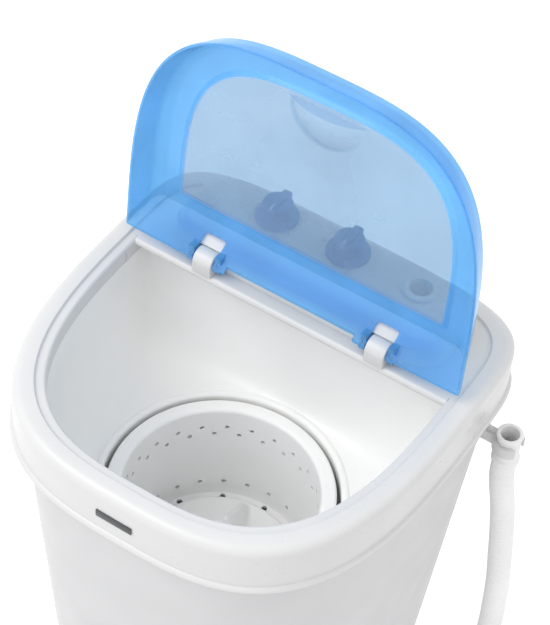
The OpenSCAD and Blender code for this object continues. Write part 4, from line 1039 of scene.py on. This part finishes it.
class WasherBasket(bpy.types.Operator):
    """Turns the spin basket with its balance ring and drains it with rows of holes"""

    bl_idname = "washer.basket"
    bl_label = "Spin basket"

    def execute(self, context):
        low, ring = BASKET_FLOOR, WELL_Z - 14
        section = [(30, low), (BASKET_R - 4, low), (BASKET_R - 1, low + 1.2), (BASKET_R + 0.5, low + 5),
                   (BASKET_R + 2.4, ring)]
        section += arc(BASKET_RING_R - 3, ring + 3, 3, 270, 360, 5)
        section += arc(BASKET_RING_R - 4, WELL_Z - 4, 4, 0, 90, 7)
        section += arc(BASKET_R + 4, WELL_Z - 4, 4, 90, 180, 7)
        section += [(BASKET_R, ring + 3), (BASKET_R - 1.4, ring - 50), (BASKET_R - 2.5, low + 12),
                    (BASKET_R - 3, low + 7), (BASKET_R - 5, low + 3.4), (BASKET_R - 8, low + 2.5),
                    (30, low + 2.5)]
        basket = revolve("drilled_basket", section, 0, WELL_Y)
        tools = []
        hole_r, floor_hole_r, floor_reach = 2.4, 3, 85
        for row, drop in enumerate((11, 21, 94)):
            for i in range(24):
                way, across = (v.to_3d() for v in spoke(math.radians((i + (row % 2) / 2) * 15)))
                rings = [[tuple(Vector((0, WELL_Y, ring - drop + v)) + way * reach + across * u)
                          for u, v in circle_outline(hole_r, count=14)] for reach in (84, 104)]
                tools.append(loft("drain_hole", rings, cap_first=True, cap_last=True))
        for i in range(12):
            turn = math.radians(30 * i)
            tools.append(disc("floor_hole", floor_hole_r, low - 1, low + 8, floor_reach * math.cos(turn),
                              WELL_Y + floor_reach * math.sin(turn), count=14))
        cut(basket, gather(*tools))
        wear(basket, "tub")
        dress(done(basket, 40), "spinner", "white_tub", "spin_basket")
        return {"FINISHED"}


class WasherPulsator(bpy.types.Operator):
    """Sculpts the pulsator, whose blades run smoothly out of its hub"""

    bl_idname = "washer.pulsator"
    bl_label = "Pulsator"

    def execute(self, context):
        blades = context.scene.washer_sizes.blades
        around, lead = 288, math.radians(12)
        under = [(PULSATOR_R - 6, 0)] + arc(PULSATOR_R - 4, 4, 4, -90, 90, 8)
        slope = [(r, 8 + 0.4 * (74 - r) / 24) for r in (74, 72, 70, 67, 64, 61, 58, 55, 52, 50)]
        slope += arc(54, 42, 34, 258, 180, 14) + [(19.4, 46), (18.6, 49), (17.4, 50.4), (15, 51)]
        crest = ((12, 57.6), (16, 57.6), (21, 55.6), (32, 44), (50, 31.5), (62, 23), (68, 17.5), (72, 11),
                 (76, 8))

        def ridge(r):
            """Height of a blade's ridge at a radius."""
            for (r0, z0), (r1, z1) in zip(crest, crest[1:]):
                if r <= r1:
                    u = max(0.0, (r - r0) / (r1 - r0))
                    return z0 + (z1 - z0) * u
            return 8.0

        rings = [at(circle_outline(r, 0, WELL_Y, around), PULSATOR_Z + z) for r, z in under]
        for r, z in slope:
            ring = []
            for k, (x, y) in enumerate(circle_outline(r, 0, WELL_Y, around)):
                turn = 2 * math.pi * k / around - lead
                off = (turn + math.pi / blades) % (2 * math.pi / blades) - math.pi / blades
                aside = abs(off) * r
                height = max(0.0, ridge(r) - z)
                flare = 3.2 + 0.16 * height
                ring.append((x, y, PULSATOR_Z + z + height * math.exp(-(aside / flare) ** 3)))
            rings.append(ring)
        rings += [at(circle_outline(r, 0, WELL_Y, around), PULSATOR_Z + z)
                  for r, z in ((12, 52), (9.2, 52), (8.4, 51.4), (8, 50), (8, 45))]
        pulsator = loft("bladed_pulsator", rings, cap_first=True, cap_last=True)
        wear(pulsator, "tub")
        dress(done(pulsator, 60), "spinner", "white_tub", "pulsator")
        return {"FINISHED"}


class WasherFittings(bpy.types.Operator):
    """Rounds the edges of the small moulded fittings that show from outside"""

    bl_idname = "washer.fittings"
    bl_label = "Fittings"

    made = (
        ("hose_clip", "rounded_clip", 0.7, "rim", "white_rim"),
        ("outlet_elbow", "rounded_elbow", 0.4, "hose", "hose_grey"),
        ("name_plate", "blank_plate", 0.35, "dark", "plate_grey"),
        ("rubber_feet", "moulded_feet", 0.5, "rubber", "grey_rubber"),
        ("cord_gland", "moulded_gland", 0.5, "dark", "grey_rubber"),
        ("inlet_chute", "moulded_inlet", 0.4, "rim", "grey_plastic"),
        ("base_pan", "moulded_base", 0.5, "grey", "grey_plastic"),
        ("drain_grate", "moulded_grate", 0.3, "grey", "grey_plastic"),
    )

    def execute(self, context):
        for node, name, width, key, slot in self.made:
            piece = refined(node, name, width)
            wear(piece, key)
            dress(piece, "cabinet", slot, node)
        return {"FINISHED"}


def seen_straight(tree):
    """One where the camera sees a surface straight, through clear plastic or mirrored, else nought."""
    rays = tree.nodes.new("ShaderNodeLightPath")
    source = rays.outputs["Is Camera Ray"]
    for kind in ("Is Transmission Ray", "Is Glossy Ray"):
        either = add_node(tree, "Math", {0: source, 1: rays.outputs[kind]})
        either.operation = "MAXIMUM"
        source = either.outputs["Value"]
    return source


class WasherStage(bpy.types.Operator):
    """Lays the floor and sets the plain studio light"""

    bl_idname = "washer.stage"
    bl_label = "Stage"

    def execute(self, context):
        light, floor_glow = context.scene.stage_light, 0.42
        clear_selection()
        bpy.ops.mesh.primitive_plane_add(size=14.0)
        floor = named(context.object, "studio_floor")
        paint = bpy.data.materials.new("pale_floor")
        paint.use_nodes = True
        tree = paint.node_tree
        shader = tree.nodes["Principled BSDF"]
        feed(tree, shader, {"Base Color": (0.8, 0.8, 0.8, 1), "Roughness": 0.9, "Specular IOR Level": 0.1})
        lift = add_node(tree, "Math", {0: seen_straight(tree), 1: floor_glow})
        lift.operation = "MULTIPLY"
        glow = add_node(tree, "Emission", {"Strength": lift.outputs["Value"]})
        both = add_node(tree, "AddShader", {0: shader.outputs["BSDF"], 1: glow.outputs["Emission"]})
        feed(tree, tree.nodes["Material Output"], {"Surface": both.outputs["Shader"]})
        floor.data.materials.append(paint)

        world = bpy.data.worlds.new("studio")
        context.scene.world = world
        world.use_nodes = True
        tree = world.node_tree
        level = add_node(tree, "MapRange", {
            "To Min": light.fill, "To Max": 1.0, "Value": seen_straight(tree),
        })
        feed(tree, tree.nodes["Background"], {"Color": (1, 1, 1, 1), "Strength": level.outputs["Result"]})

        bpy.ops.object.light_add(type="AREA", location=(-0.9, -1.1, 2.3))
        lamp = named(context.object, "soft_key")
        lamp.data.shape = "DISK"
        lamp.data.size = 1.6
        lamp.data.energy = light.key
        aim = Vector((0, 0, 0.45)) - lamp.location
        lamp.rotation_euler = aim.to_track_quat("-Z", "Y").to_euler()

        context.scene.view_settings.view_transform = "Standard"
        return {"FINISHED"}


class WasherPanel(bpy.types.Panel):
    """Lists the steps that build the machine"""

    bl_idname = "VIEW3D_PT_washer"
    bl_label = "Mini washing machine"
    bl_space_type = "VIEW_3D"
    bl_region_type = "UI"
    bl_category = "Washer"

    def draw(self, context):
        for group in ("washer_sizes", "washer_colours", "stage_light"):
            box = self.layout.box()
            held = getattr(context.scene, group)
            for key in held.__annotations__:
                box.prop(held, key)
        for step in STEPS:
            self.layout.operator(step.bl_idname)


GROUPS = {"washer_sizes": WasherSizes, "washer_colours": WasherColours, "stage_light": StageLight}
STEPS = (
    WasherCamera, WasherFinishes, WasherHose, WasherBody, WasherRim, WasherTub, WasherBasket, WasherPulsator,
    WasherConsole, WasherKnobs, WasherLid, WasherFittings, WasherStage,
)


def register():
    for group, held in GROUPS.items():
        bpy.utils.register_class(held)
        setattr(bpy.types.Scene, group, bpy.props.PointerProperty(type=held))
    for step in STEPS:
        bpy.utils.register_class(step)
    bpy.utils.register_class(WasherPanel)


def unregister():
    bpy.utils.unregister_class(WasherPanel)
    for step in reversed(STEPS):
        bpy.utils.unregister_class(step)
    for group, held in reversed(GROUPS.items()):
        delattr(bpy.types.Scene, group)
        bpy.utils.unregister_class(held)


def main():
    register()
    for step in STEPS:
        area, action = step.bl_idname.split(".")
        getattr(getattr(bpy.ops, area), action)()


if __name__ == "__main__":
    main()
